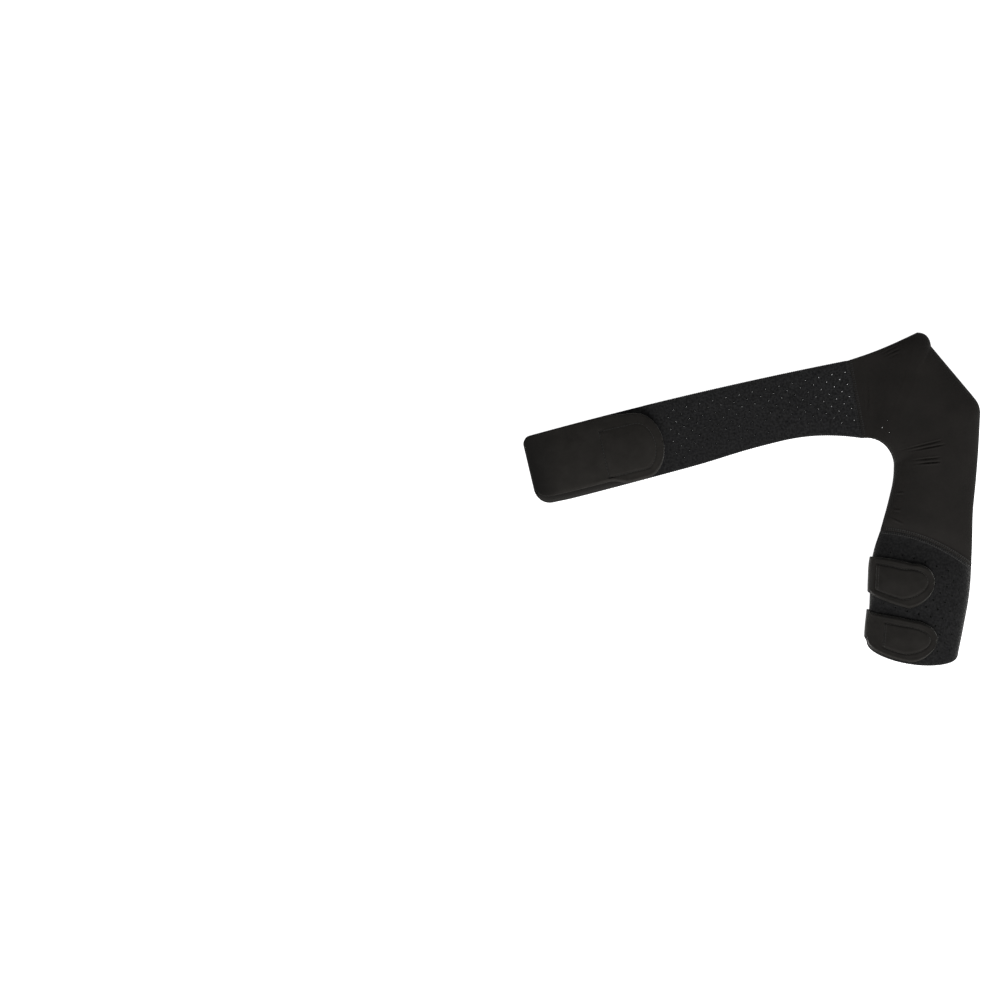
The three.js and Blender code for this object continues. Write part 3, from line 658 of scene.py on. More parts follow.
def strap_edges(s):
    """Top and bottom edge across the strap: the top bows as a parabola, and the width
    follows its table and flares as a square towards the seam."""
    share = s / STRAP_LENGTH
    top = -4 * STRAP_BOW * share * (1 - share)
    flare = seam_width - STRAP_WIDTH * STRAP_TABLE[0, 1]
    width = STRAP_WIDTH * through(STRAP_TABLE, 1, share) + flare * ease_off(s, FLARE_LENGTH)
    return top + corner_inset(s, END_RADIUS_TOP), top + width - corner_inset(s, END_RADIUS_BOTTOM)


def strap_lift(s):
    """Lift of the front layer off the back one, from the strap's table."""
    return np.clip(through(STRAP_TABLE, 2, s / STRAP_LENGTH), 0, 1)


def strap_front_top(s, swell):
    """Height of the front layer: down from the seam as a square, clear of the back where the
    loop is open and lying on it under the tab, with both edges drooping a little."""
    height = (LYING_HEIGHT + (STRAP_HEIGHT - LYING_HEIGHT) * strap_lift(s)
              + (SEAM_HEIGHT - STRAP_HEIGHT) * ease_off(s, SETTLE_LENGTH))
    return height - EDGE_DROOP * (height - LYING_HEIGHT) * (1 - swell)


def smoothstep(value, low, high):
    """Cubic ease from 0 at the low end to 1 at the high end."""
    share = np.clip((value - low) / (high - low), 0, 1)
    return share * share * (3 - 2 * share)


def strap_place(s, t):
    """Place in the frame of a point along and across the strap."""
    return seam_top + s[..., None] * STRAP_AXIS + t[..., None] * STRAP_SIDE


def strap_point(s, t, layer, depth):
    """Point of a strap layer: near the seam it is skewed to follow the seam's line."""
    top, bottom = strap_edges(s)
    spread = (t - top) / (bottom - top)
    place = strap_place(s + seam_skew * spread * ease_off(s, FLARE_LENGTH), t)
    swell = np.sqrt(np.clip(4 * spread * (1 - spread), 0, 1))
    if layer == "front":
        height = strap_front_top(s, swell) - depth
        height = height + STRAP_WAVE * unevenness(place, STRAP_WAVE_SIZE) * strap_lift(s)
        height = height + BORDER_SWELL * border_share(s, bottom - t)
        height = height - TAB_DENT * near_tab(tab_cover(s, t, top, bottom))
    else:
        height = depth + 0 * swell
    return np.concatenate([place, height[..., None]], axis=-1)


def near_tab(outline_distance):
    """Share of what a tab does to the cloth under it: 1 under the tab, easing off round it by
    the distance to its outline, which is more than 0 inside."""
    return 1 - smoothstep(-outline_distance, PRESS_START, PRESS_REACH)


def tab_cover(s, t, top, bottom):
    """How far along the strap a point lies inside the tab, less than 0 outside it: the tab's
    tip is half an ellipse."""
    tip = STRAP_LENGTH - TAB_LENGTH
    across = (t - (top + bottom) / 2) / ((bottom - top) / 2)
    reach = tip + TAB_TIP_LENGTH * (1 - np.sqrt(np.clip(1 - across**2, 0, 1)))
    return s - reach


def border_share(s, from_bottom):
    """Share of the swell of the border that shows below the tab: it rises from the edge, stays
    level until it is under the tab, and fades in along the strap where the border opens."""
    shown = np.clip((s - BORDER_START) / BORDER_OPENING, 0, 1)
    rise = smoothstep(from_bottom, 0, BORDER_RISE)
    return shown * rise * (1 - smoothstep(from_bottom, BORDER_LEVEL, BORDER_UNDER_TAB))


def strap_lattice(end):
    """Staggered rows of holes that follow the top edge, as far as the margins leave room."""
    rows = np.arange(int((STRAP_WIDTH - 2 * HOLE_EDGE_MARGIN) / HOLE_ROW_PITCH) + 1)
    steps = np.arange(int(STRAP_LENGTH / HOLE_PITCH) + 1)
    s = HOLE_SEAM_MARGIN + HOLE_PITCH * (steps[None, :] + (rows[:, None] % 2) / 2)
    top, bottom = strap_edges(np.minimum(s, STRAP_LENGTH))
    t = top + HOLE_EDGE_MARGIN + HOLE_ROW_PITCH * rows[:, None]
    kept = (s < end) & (t < bottom - HOLE_EDGE_MARGIN)
    return plan(s, t)[kept]


# How far the back layer's holes have slipped from under the front's, in metres. Columns: along
# the strap to the tab, slip of the top rows, of the middle and of the low ones
SLIP_TABLE = np.array([
    [0.00, 0.00086, 0.00092, 0.00115],
    [0.08, 0.00090, 0.00101, 0.00125],
    [0.24, 0.00123, 0.00135, 0.00149],
    [0.40, 0.00135, 0.00145, 0.00154],
    [0.57, 0.00137, 0.00144, 0.00155],
    [0.73, 0.00135, 0.00152, 0.00161],
    [0.91, 0.00135, 0.00140, 0.00147],
    [1.00, 0.00135, 0.00140, 0.00147],
])


def layer_slip(centres):
    """Where the back layer's holes lie: under the line of sight through the front's, and off it
    by the table's slip in a direction that turns slowly from hole to hole."""
    s, t = centres[:, 0], centres[:, 1]
    share = np.clip(s / (STRAP_LENGTH - TAB_LENGTH), 0, 1)
    low = np.clip((t - 0.014) / 0.044, 0, 1)
    top, middle, bottom = (through(SLIP_TABLE, column, share) for column in (1, 2, 3))
    slip = np.where(low < 0.5, top + (middle - top) * 2 * low,
                    middle + (bottom - middle) * (2 * low - 1))
    slip = slip + 0.00004 * np.sin(57.0 * s / HOLE_PITCH + 31.0 * t / HOLE_ROW_PITCH)
    place = strap_place(s, t)
    shift = seen_through(place, strap_front_top(s, 1.0) - WALL) - place
    angle = 1.6 + 0.6 * np.sin(40 * s) + 0.4 * np.sin(90 * t)
    turned = slip[:, None] * plan(np.cos(angle), np.sin(angle))
    return plan(shift @ STRAP_AXIS, shift @ STRAP_SIDE) + turned


def hole_rings(centres, radius):
    """One ring of points round each centre."""
    turn = np.linspace(0, 2 * np.pi, HOLE_SIDES, endpoint=False)
    return centres[:, None, :] + radius * plan(np.cos(turn), np.sin(turn))


def apart_from(points, centres, distance):
    """The points that lie further than a distance from every centre."""
    gap = np.linalg.norm(points[:, None, :] - centres[None, :, :], axis=-1).min(axis=1)
    return points[gap > distance]


def punched_sheet(name, outline, centres, inside, radius, place):
    """Sheet with round holes: a Delaunay net of the outline, the rings of the holes and the
    points between, less what lies inside a ring. The function place gives both faces their
    points in space, and walls join the faces round the outline and round every hole."""
    rings = hole_rings(centres, radius)
    guards = hole_rings(centres, 1.5 * radius)
    inside = apart_from(inside, centres, 1.9 * radius)
    points = np.concatenate([outline, rings.reshape(-1, 2), guards.reshape(-1, 2), inside])
    rim = np.arange(len(outline))
    edges = [np.stack([rim, np.roll(rim, -1)], axis=1)]
    first = len(outline) + HOLE_SIDES * np.arange(len(centres))[:, None]
    turn = np.arange(HOLE_SIDES)[None, :]
    edges.append(np.stack([first + turn, first + (turn + 1) % HOLE_SIDES], axis=-1).reshape(-1, 2))
    net = delaunay_2d_cdt([Vector(point) for point in points],
                          np.concatenate(edges).tolist(), [], 1, 1e-8)
    points = np.array([tuple(point) for point in net[0]])
    faces = np.array([face for face in net[2] if len(face) == 3])
    middle = points[faces].mean(axis=1)
    gap = np.linalg.norm(middle[:, None, :] - centres[None, :, :], axis=-1).min(axis=1)
    faces = faces[gap > 0.97 * radius * math.cos(math.pi / HOLE_SIDES)]
    used, faces = np.unique(faces, return_inverse=True)
    faces, points = faces.reshape(-1, 3), points[used]
    size = len(points)
    ways = np.concatenate([faces[:, [0, 1]], faces[:, [1, 2]], faces[:, [2, 0]]])
    code, back = ways[:, 0] * size + ways[:, 1], ways[:, 1] * size + ways[:, 0]
    free = ways[~np.isin(code, back)]
    walls = np.stack([free[:, 1], free[:, 0], free[:, 0] + size, free[:, 1] + size], axis=1)
    outer, inner = place(points)
    all_faces = faces.tolist() + (faces[:, ::-1] + size).tolist() + walls.tolist()
    return make_piece(name, np.concatenate([outer, inner]), all_faces,
                      np.concatenate([points, points]), len(walls))


def strap_net(start, end):
    """Outline and inner points of a strap layer, closer together towards its cut edges."""
    steps = int((end - start) / STRAP_NET_STEP)
    s = np.linspace(start, end, steps + 1)
    top, bottom = strap_edges(s)
    side = np.linspace(0, 1, 36)[1:-1]
    outline = np.concatenate([
        plan(s, top),
        plan(np.full_like(side, end), top[-1] + side * (bottom[-1] - top[-1])),
        plan(s, bottom)[::-1],
        plan(np.full_like(side, start), bottom[0] + side * (top[0] - bottom[0]))])
    rows = [plan(s[1:-1], top[1:-1] + inset) for inset in RIM_INSETS]
    rows += [plan(s[1:-1], bottom[1:-1] - inset) for inset in RIM_INSETS]
    for inset in RIM_INSETS:
        for at in (start + inset, end - inset):
            high, low = strap_edges(np.full_like(side, at))
            rows.append(plan(np.full_like(side, at), high + side * (low - high)))
    inner_s = np.linspace(start + 0.003, end - 0.003, steps)
    share = (np.arange(STRAP_NET_COLUMNS) + 0.5) / STRAP_NET_COLUMNS
    stagger = ((np.arange(steps) % 2)[:, None] * 0.5 - 0.25) / STRAP_NET_COLUMNS
    high, low = strap_edges(inner_s)
    spread = np.clip(share[None, :] + stagger, 0.03, 0.97)
    rows.append(plan(inner_s[:, None], high[:, None] + spread * (low - high)[:, None])
                .reshape(-1, 2))
    return outline, np.concatenate(rows)


def strap_layer(name, layer, start, end, centres):
    """One layer of the strap, its rim rounded by the distance to its outline."""
    outline, inside = strap_net(start, end)

    def place(points):
        s, t = points[:, 0], points[:, 1]
        top, bottom = strap_edges(s)
        distance = np.minimum(np.minimum(t - top, bottom - t), np.minimum(s - start, end - s))
        outer = strap_point(s, t, layer, 0.0)
        inner = strap_point(s, t, layer, WALL)
        return soften_rim(outer, inner, np.maximum(distance, 0))

    return punched_sheet(name, outline, centres, inside, HOLE_RADIUS, place)


mesh_cloth = knit("perforated mesh cloth", (0.0052, 0.0052, 0.0055), (0.0188, 0.0188, 0.0193),
                  0.85, 0.06, 0.0014, 0.0005, 400.0, 0.12,
                  ((0.0150, 0.0143, 0.0133), 2.90, 3.20, "X"))

front_holes = strap_lattice(STRAP_LENGTH - TAB_LENGTH - HOLE_TAB_MARGIN)
back_holes = strap_lattice(FOLD_START - 2 * HOLE_TAB_MARGIN)
strap_front = strap_layer("chest_strap_front_layer", "front", -SEAM_LAP,
                          STRAP_LENGTH - FRONT_END_BACK, front_holes)
strap_back = strap_layer("chest_strap_back_layer", "back", -SEAM_LAP,
                         FOLD_START - SEAM_GAP, back_holes + layer_slip(back_holes))
for strap, node in ((strap_front, "chest_strap_front"), (strap_back, "chest_strap_back")):
    dress(strap, mesh_cloth, cut_foam, node)


# Closing tab of the chest strap
# A piece of loop fabric sewn to the end of the back layer. It turns over the strap's end and
# lies on the front with a round tip, and its hook patch, sewn on from beneath, holds it there.
TAB_BORDER, TAB_INSET = 0.008, 0.0005
TAB_TIP_INSET, TAB_TIP_INSET_LENGTH = 0.006, 0.040
CHEST_HOOK_LENGTH, CHEST_HOOK_WIDTH, CHEST_HOOK_MARGIN = 0.069, 0.062, 0.009
CHEST_HOOK_DROP = 0.003
TAB_CROWN, TAB_TUCK, TAB_PAD = 0.0046, 0.0007, 0.0009
TAB_WAVE, TAB_WAVE_SIZE = 0.0004, 0.02
ROLL_HEIGHT, ROLL_INSET, ROLL_WIDTH = 0.0006, 0.0030, 0.0016
PRESSED_DEPTH, PRESSED_WIDTH = 0.0019, 0.0025
GROOVE_WIDTH = 0.0009
FOLD_RISE, FOLD_STIFFNESS = 0.0024, 0.0010
HOOK_THICKNESS = 0.0012
TAB_RIM_RADIUS = 0.0013
PATCH_ROUND_SHARE = 0.3
PATCH_SEAM_INSET = 0.0018
TAB_TIP = STRAP_LENGTH - TAB_LENGTH
PATCH_START = TAB_TIP + CHEST_HOOK_MARGIN
PATCH_END = PATCH_START + CHEST_HOOK_LENGTH
TAB_SETTLED = PATCH_END + 0.6 * (STRAP_LENGTH - PATCH_END)


def patch_outline(start, end, middle, half, round_length, inset, points=40):
    """Closed line round a patch: straight sides from its square end, and half an ellipse
    round its other end."""
    turn = np.linspace(-math.pi / 2, math.pi / 2, points)
    inner_half = half - inset
    tip = plan(start + round_length - (round_length - inset) * np.cos(turn),
               middle + inner_half * np.sin(turn))
    side = np.linspace(0, 1, points)[1:, None]
    corner_low = np.array([end - inset, middle - inner_half])
    corner_high = np.array([end - inset, middle + inner_half])
    return np.concatenate([tip, tip[-1] + side * (corner_high - tip[-1]),
                           corner_high + side * (corner_low - corner_high),
                           corner_low + side[:-1] * (tip[0] - corner_low)])


def inside_distance(points, line):
    """Shortest way from each point to a closed line of straight pieces, more than 0 inside it
    and less outside. A point is inside if a ray from it crosses the line an odd number of times."""
    nearest = np.full(points.shape[:-1], 1.0)
    inside = np.zeros(points.shape[:-1], bool)
    for begin, end in zip(line, np.roll(line, -1, axis=0)):
        piece, offset = end - begin, points - begin
        share = np.clip(offset @ piece / max(piece @ piece, 1e-12), 0, 1)[..., None]
        nearest = np.minimum(nearest, np.linalg.norm(offset - share * piece, axis=-1))
        if begin[1] != end[1]:
            level = (begin[1] > points[..., 1]) != (end[1] > points[..., 1])
            inside ^= level & (offset[..., 0] < piece[0] * offset[..., 1] / piece[1])
    return np.where(inside, nearest, -nearest)


def padded_relief(edge, seam, rolled=1.0, pad_height=0.0014, pulled=0.0010):
    """Relief of a tab by the distance to its edge and to its stitch line: the edge pressed down
    with a low roll inside it, a groove pulled in by the stitches, and the part over the hook
    patch standing up as a low dome."""
    roll = ROLL_HEIGHT * np.exp(-((edge - ROLL_INSET) / ROLL_WIDTH)**2)
    pressed = -PRESSED_DEPTH * np.exp(-(edge / PRESSED_WIDTH)**2)
    groove = -pulled * np.exp(-(seam / GROOVE_WIDTH)**2)
    pad = pad_height * (0.5 * smoothstep(seam, 0.0001, 0.0025) + 0.9 * smoothstep(seam, 0, 0.017))
    return rolled * (roll + pressed) + groove + pad


tab_angles = np.linspace(-math.pi / 2, math.pi / 2, 22)[:-1]
tab_straight = np.linspace(FOLD_START, TAB_TIP + TAB_TIP_LENGTH, 120)
tip_angles = np.linspace(math.pi / 2, 0.02, 40)[1:]
tab_rows = len(tab_angles) + len(tab_straight) + len(tip_angles)
fold = np.arange(tab_rows) < len(tab_angles)
row_angle = np.concatenate([tab_angles, np.full(tab_rows - len(tab_angles), math.pi / 2)])
row_s = np.concatenate([np.full(len(tab_angles), FOLD_START), tab_straight,
                        TAB_TIP + TAB_TIP_LENGTH * (1 - np.cos(tip_angles))])
row_narrowing = np.concatenate([np.ones(len(tab_angles) + len(tab_straight)), np.sin(tip_angles)])
tab_stations = edge_stations(64)[::-1]


def tab_border(s, angle):
    """Bare border of the lower layer below the tab: it opens as the tab comes over the fold and
    closes again beside the patch."""
    turned = smoothstep(np.sin(angle), 0, 1)
    return TAB_BORDER * turned * smoothstep(s, PATCH_END - 0.029, PATCH_END)


def tab_surface(s, angle, narrowing, across, depth):
    """Point of the tab: half a turn round the strap's end, then over the front layer and the
    patch, its width narrowed by a sine round the tip."""
    outer_s = s + FOLD_RADIUS * np.cos(angle)
    top, bottom = strap_edges(outer_s)
    top = top + TAB_INSET + np.where(angle < math.pi / 2, 0, TAB_TIP_INSET) * (
        1 - smoothstep(s, TAB_TIP + TAB_TIP_LENGTH / 2,
                       TAB_TIP + TAB_TIP_LENGTH + TAB_TIP_INSET_LENGTH))
    bottom = bottom - TAB_INSET - tab_border(s, angle)
    spread = np.cos(np.pi * across)
    t = (top + bottom) / 2 + narrowing * (bottom - top) / 2 * spread
    place = strap_place(s + (FOLD_RADIUS - depth) * np.cos(angle), t)
    swell = np.sqrt(np.clip(1 - (narrowing * spread)**2, 0, 1))
    under = SEAM_GAP + (HOOK_THICKNESS + SEAM_GAP) * (1 - smoothstep(s, PATCH_END, TAB_SETTLED))
    lying = strap_front_top(s, swell) + under + WALL - depth
    folded = FOLD_RADIUS + (FOLD_RADIUS - depth) * np.sin(angle)
    height = np.where(angle < math.pi / 2, folded, lying)
    return np.concatenate([place, height[..., None]], axis=-1), plan(outer_s + 0 * t, t)


patch_middle = sum(strap_edges(np.array((PATCH_START + PATCH_END) / 2))) / 2 + CHEST_HOOK_DROP
tab_seam = patch_outline(PATCH_START, PATCH_END, patch_middle, CHEST_HOOK_WIDTH / 2,
                         PATCH_ROUND_SHARE * CHEST_HOOK_LENGTH, PATCH_SEAM_INSET)
grid = [value[:, None] for value in (row_s, row_angle, row_narrowing)]
tab_outer, tab_flat = tab_surface(*grid, tab_stations[None, :], 0.0)
tab_inner, _ = tab_surface(*grid, tab_stations[None, :], WALL)

# The tab's relief: the pad over its patch, the roll of its edge, slow waves, a low crown, and
# a rise behind the fold. The roll fades in towards the tip.
tab_edge = rim_distance(tab_outer)
tab_spread = row_narrowing[:, None] * np.cos(np.pi * tab_stations)
from_fold = (FOLD_START - row_s)[:, None]
rolled = smoothstep(from_fold, 0.055, 0.100) * (0.15 + 0.85 * smoothstep(tab_spread, -0.8, 0.1))
seam_top_line = patch_middle - CHEST_HOOK_WIDTH / 2
tab_pulled = 0.0002 + 0.0008 * smoothstep(tab_flat[..., 1] - seam_top_line, 0.002, 0.012)
near_end = smoothstep(tab_flat[..., 0], PATCH_END - 0.012, PATCH_END - 0.004)
tab_pulled = tab_pulled + 0.0010 * near_end
tab_inside = inside_distance(tab_flat, tab_seam)
tab_lift = padded_relief(tab_edge, tab_inside, rolled, TAB_PAD, tab_pulled)
tab_waves = TAB_WAVE * unevenness(tab_outer[..., :2], TAB_WAVE_SIZE)
tab_lift = tab_lift + tab_waves * smoothstep(from_fold, 0, 0.01)
tab_lift = tab_lift + TAB_CROWN * (1 - tab_spread**2) * smoothstep(from_fold, 0, 0.03)
tab_lift = tab_lift + FOLD_RISE * smoothstep(from_fold, -0.002, 0.026)
tucked = smoothstep(tab_spread, 0.3, 0.8) * smoothstep(from_fold, 0, 0.01) * (1 - rolled)
tab_lift = tab_lift - TAB_TUCK * tucked * np.exp(-(tab_edge / PRESSED_WIDTH)**2)
tab_outer[..., 2] += np.where(fold, 0, 1)[:, None] * tab_lift
tab_soft = tab_edge + np.where(fold, FOLD_STIFFNESS, 0)[:, None]
tab_outer, tab_inner = soften_rim(tab_outer, tab_inner, tab_soft, TAB_RIM_RADIUS)
chest_tab = grid_sheet("chest_closing_tab", tab_outer, tab_inner)

# The loop fabric's tail is painted shade: it makes the tab much darker over its fold, fading out
# about four centimetres beyond it, where the cloth falls away from the lamp.
loop_cloth = knit("loop fabric", (0.0128, 0.0117, 0.0104), (0.0177, 0.0163, 0.0146),
                  0.92, 0.22, 0.0011, 0.0003, 60.0, 0.19,
                  ((0.0066, 0.0062, 0.0057), 0.55, 0.12, "Y"))
dress(chest_tab, loop_cloth, loop_cloth, "chest_tab")


def hook_tape():
    """Hook tape: hard black plastic with a field of small hooks in rows."""
    material, tree, shader = new_material("hook tape", 0.6, 0.5)
    where = add_node(tree, "TexCoord", {}).outputs
    hooks = add_node(tree, "TexVoronoi", {"Scale": 900, "Vector": where["Object"]})
    raise_bumps(tree, shader, hooks.outputs["Distance"], 0.0005)
    shader.inputs["Base Color"].default_value = (0.008, 0.008, 0.008, 1)
    return material


tape = hook_tape()
patch_share = np.concatenate([np.linspace(1, PATCH_ROUND_SHARE, 24),
                              np.full(12, PATCH_ROUND_SHARE)])
patch_angle = np.concatenate([np.full(24, math.pi / 2), np.linspace(math.pi / 2, 0.05, 13)[1:]])
patch_s = (PATCH_START + CHEST_HOOK_LENGTH
           * (patch_share - PATCH_ROUND_SHARE * np.cos(patch_angle)))[:, None]
patch_half = (np.sin(patch_angle) * CHEST_HOOK_WIDTH / 2)[:, None]
patch_spread = CHEST_HOOK_DROP + np.linspace(1, -1, 25)[None, :] * patch_half
patch_top, patch_bottom = strap_edges(patch_s)
patch_place = strap_place(patch_s + 0 * patch_spread, (patch_top + patch_bottom) / 2 + patch_spread)
patch_swell = np.sqrt(1 - (2 * patch_spread / (patch_bottom - patch_top))**2)
patch_floor = strap_front_top(patch_s, patch_swell) + SEAM_GAP
chest_patch = grid_sheet(
    "chest_hook_tape",
    np.concatenate([patch_place, (patch_floor + HOOK_THICKNESS)[..., None]], axis=-1),
    np.concatenate([patch_place, patch_floor[..., None]], axis=-1))
dress(chest_patch, tape, tape, "chest_hook_patch")


# Arm cuff
# The lower end of the sleeve, front and back, of the same perforated neoprene as the strap.
# It is sewn to the sleeve along the bowed cross seam and open at its rounded hem.
CUFF_HEIGHT = 0.025
CUFF_OUTER_LENGTH, CUFF_OUTER_LEAN = 0.105, 0.0165
CUFF_INNER_LENGTH, CUFF_INNER_LEAN = 0.1345, 0.017
CUFF_LENGTH = (CUFF_INNER_LENGTH + CUFF_OUTER_LENGTH) / 2
HEM_BOW, HEM_BOW_ROUNDNESS = 0.0245, 0.35
CUFF_HOLE_EDGE, CUFF_HOLE_SEAM, CUFF_HOLE_HEM = 0.0075, 0.012, 0.009
CUFF_HOLE_RADIUS = 0.00105
CUFF_SWELL = 0.0008
CUFF_WRAP = 0.19

# Columns: share of the length, shares of the outer and of the inner lean
CUFF_TABLE = np.array([
    [0.00, 0.00, 0.00],
    [0.16, 0.05, 0.42],
    [0.31, 0.14, 0.66],
    [0.45, 0.27, 0.72],
    [0.60, 0.45, 0.76],
    [0.75, 0.64, 0.82],
    [0.88, 0.82, 0.93],
    [1.00, 1.00, 1.00],
])


def cuff_rib(at):
    """Ribs of the cuff, whose line bows up at the seam and down at the hem."""
    shut = np.zeros_like(at)
    inner_top = sleeve_inner(np.array(1.0))
    outer_top = sleeve_outer(np.array(1.0))
    inner = inner_top - plan(CUFF_INNER_LEAN * through(CUFF_TABLE, 2, at), at * CUFF_INNER_LENGTH)
    outer = outer_top - plan(CUFF_OUTER_LEAN * through(CUFF_TABLE, 1, at), at * CUFF_OUTER_LENGTH)
    return make_rib(
        inner, outer, crown=SLEEVE_HEIGHT + (CUFF_HEIGHT - SLEEVE_HEIGHT) * at,
        outer_gape=shut, inner_gape=shut,
        bow=CUFF_SEAM_BOW + (-HEM_BOW - CUFF_SEAM_BOW) * at,
        bow_roundness=SEAM_BOW_ROUNDNESS + (HEM_BOW_ROUNDNESS - SEAM_BOW_ROUNDNESS) * at,
        above_cuff=-at * CUFF_LENGTH)


# The cuff's two closing straps: where each starts down the arm, its width and reach over the
# front, how much narrower it is at its root, how far its tip leans up, and where its patch starts
ARM_STRAPS = {
    "upper": dict(start=0.029, width=0.048, reach=0.080, root_narrowing=0.0035, tip_lean=0.010,
                  hook_start=0.009),
    "lower": dict(start=0.088, width=0.045, reach=0.0845, root_narrowing=0.010, tip_lean=0.004,
                  hook_start=0.021),
}
ARM_TIP_LENGTH, ARM_HOOK_MARGIN = 0.030, 0.008
ROOT_ANGLE = math.radians(22)
ARM_WAVE, ARM_WAVE_SIZE = 0.0003, 0.015


def turn_at(distance, width):
    """Angle round the cuff at a distance in plan from its inner edge."""
    return np.arccos(1 - 2 * distance / width)


def arm_rows(size, start, stop, straight_rows, tip_rows):
    """Rows along an arm strap: the angle round the cuff, the share of the width that is left,
    which narrows by a sine round the tip, and the shares of the root's narrowing and of the
    tip's lean."""
    middle = size["start"] + size["width"] / 2
    width = float(cuff_rib(np.array(middle / CUFF_INNER_LENGTH))["width"])
    straight = stop - ARM_TIP_LENGTH
    turns = np.linspace(turn_at(start, width), turn_at(straight, width), straight_rows)
    distance = width * (1 - np.cos(turns)) / 2
    root = np.maximum(0, 1 - distance / (size["reach"] - ARM_TIP_LENGTH))**2
    angles = np.linspace(math.pi / 2, 0.03, tip_rows)[1:]
    tips = turn_at(straight + ARM_TIP_LENGTH * np.cos(angles), width)
    return (np.concatenate([turns, tips])[:, None],
            np.concatenate([np.ones(straight_rows), np.sin(angles)])[:, None],
            np.concatenate([root, np.zeros(tip_rows - 1)])[:, None],
            np.concatenate([np.zeros(straight_rows), np.cos(angles)])[:, None], width)


def along_arm(size, narrowing, root, lean, across, margin):
    """How far down the arm a point of an arm strap or its patch lies."""
    top = size["start"] + margin + size["root_narrowing"] * root
    bottom = size["start"] + size["width"] - margin
    middle = (top + bottom) / 2 - size["tip_lean"] * lean
    return middle + narrowing * (across - 0.5) * (bottom - top)


def arm_outline(size, start, margin):
    """Closed line a margin inside an arm strap's edge: distance from the cuff's inner edge and
    way down the arm. With the patch's start and margin it is the stitch line."""
    turns, narrowing, root, lean, width = arm_rows(size, start, size["reach"] - margin, 24, 24)
    distance = (width * (1 - np.cos(turns)) / 2)[:, 0]
    sides = [along_arm(size, narrowing, root, lean, side, margin)[:, 0] for side in (0, 1)]
    return np.concatenate([plan(distance, sides[0]), plan(distance, sides[1])[::-1]])


def cuff_point(at, across, layer, depth):
    """Point of the cuff, whose upper edge is pressed to the sleeve's. The front swells a little
    round its straps."""
    rib = cuff_rib(at)
    point = worked_point(rib, across, layer, depth)
    point[..., 1] += SEAM_LAP
    if layer == "front":
        spot = plan(rib["width"] * (1 - np.cos(np.pi * across)) / 2, at * CUFF_INNER_LENGTH)
        for size in ARM_STRAPS.values():
            line = arm_outline(size, 0.0, 0.0)
            swell = CUFF_SWELL * near_tab(inside_distance(spot, line))
            point[..., 2] += swell * np.minimum(1, 8 * across)
    return point


def cuff_lattice(shift):
    """Staggered rows of holes that run down the arm, spaced from the outer edge: share of the
    length and distance from the outer edge."""
    rows = np.arange(16)[:, None]
    steps = np.arange(-1, 9)[None, :]
    from_edge = CUFF_HOLE_EDGE + HOLE_ROW_PITCH * rows + shift[0] + 0 * steps
    down = CUFF_HOLE_SEAM + HOLE_PITCH * (steps + (rows % 2) / 2) + shift[1]
    at = down / CUFF_LENGTH
    width = cuff_rib(np.clip(at, 0, 1))["width"]
    kept = ((down > CUFF_HOLE_SEAM) & (down < CUFF_LENGTH - CUFF_HOLE_HEM)
            & (from_edge < width - CUFF_HOLE_EDGE) & (from_edge > CUFF_HOLE_EDGE - 0.001))
    return at[kept], from_edge[kept], width[kept]


def cuff_sheet(name, layer, shift):
    """One layer of the cuff. Its net is flat: along the arm, and across it by turn, so that
    a hole is round on the cuff where it is a ring there in plan."""
    at, from_edge, width = cuff_lattice(shift)
    turn = np.arccos(np.clip(2 * from_edge / width - 1, -1, 1)) / np.pi
    centres = plan(at * CUFF_LENGTH, turn * CUFF_WRAP)
    stations = edge_stations(70) * CUFF_WRAP
    near_rim = np.array([0, 0.0004, 0.0009, 0.0018])
    down = np.concatenate([near_rim, np.linspace(0.003, CUFF_LENGTH - 0.003, 44),
                           CUFF_LENGTH - near_rim[::-1]])
    outline = np.concatenate([
        plan(0, stations), plan(down, CUFF_WRAP)[1:-1], plan(CUFF_LENGTH, stations)[::-1],
        plan(down, 0)[1:-1][::-1]])
    inside = plan(down[1:-1, None], stations[None, 1:-1]).reshape(-1, 2)

    def place(points):
        share, across = points[:, 0] / CUFF_LENGTH, points[:, 1] / CUFF_WRAP
        outer = cuff_point(share, across, layer, 0.0)
        inner = cuff_point(share, across, layer, WALL)
        rise = (SLEEVE_HEIGHT * (1 - MEET_SHARE)
                * np.sin(np.pi * np.clip(across, 0, 1)).clip(0, 1)**FRONT_ROUNDNESS)
        distance = np.minimum(np.minimum(points[:, 0], CUFF_LENGTH - points[:, 0]), rise)
        return soften_rim(outer, inner, np.maximum(distance, 0))

    return punched_sheet(name, outline, centres, inside, CUFF_HOLE_RADIUS, place)


# The cuff's cloth is the strap's mesh cloth in darker colours: painted shade, standing for the
# shade that lies on the cuff round and between its straps.
shaded_cuff_cloth = knit("perforated mesh cloth painted darker for shade", (0.0035, 0.0035, 0.0037),
                  (0.0127, 0.0127, 0.0130), 0.85, 0.42, 0.0014, 0.0005, 400.0, 0.12)
cuff_front = cuff_sheet("cuff_front_layer", "front", (0.0, 0.0))
cuff_back = cuff_sheet("cuff_back_layer", "back", (0.0035, 0.0055))
for cuff, node in ((cuff_front, "cuff_front"), (cuff_back, "cuff_back")):
    dress(cuff, shaded_cuff_cloth, cut_foam, node)


# Closing straps of the cuff
# Two tabs of loop fabric, sewn to the back of the cuff beside its inner edge. Each goes round
# that edge and over the front to a round tip, and a hook patch under it holds it.
strap_cloth = knit("loop fabric of the arm straps", (0.0110, 0.0101, 0.0090),
                   (0.0152, 0.0140, 0.0126), 0.92, 0.42, 0.0011, 0.0003, 60.0)


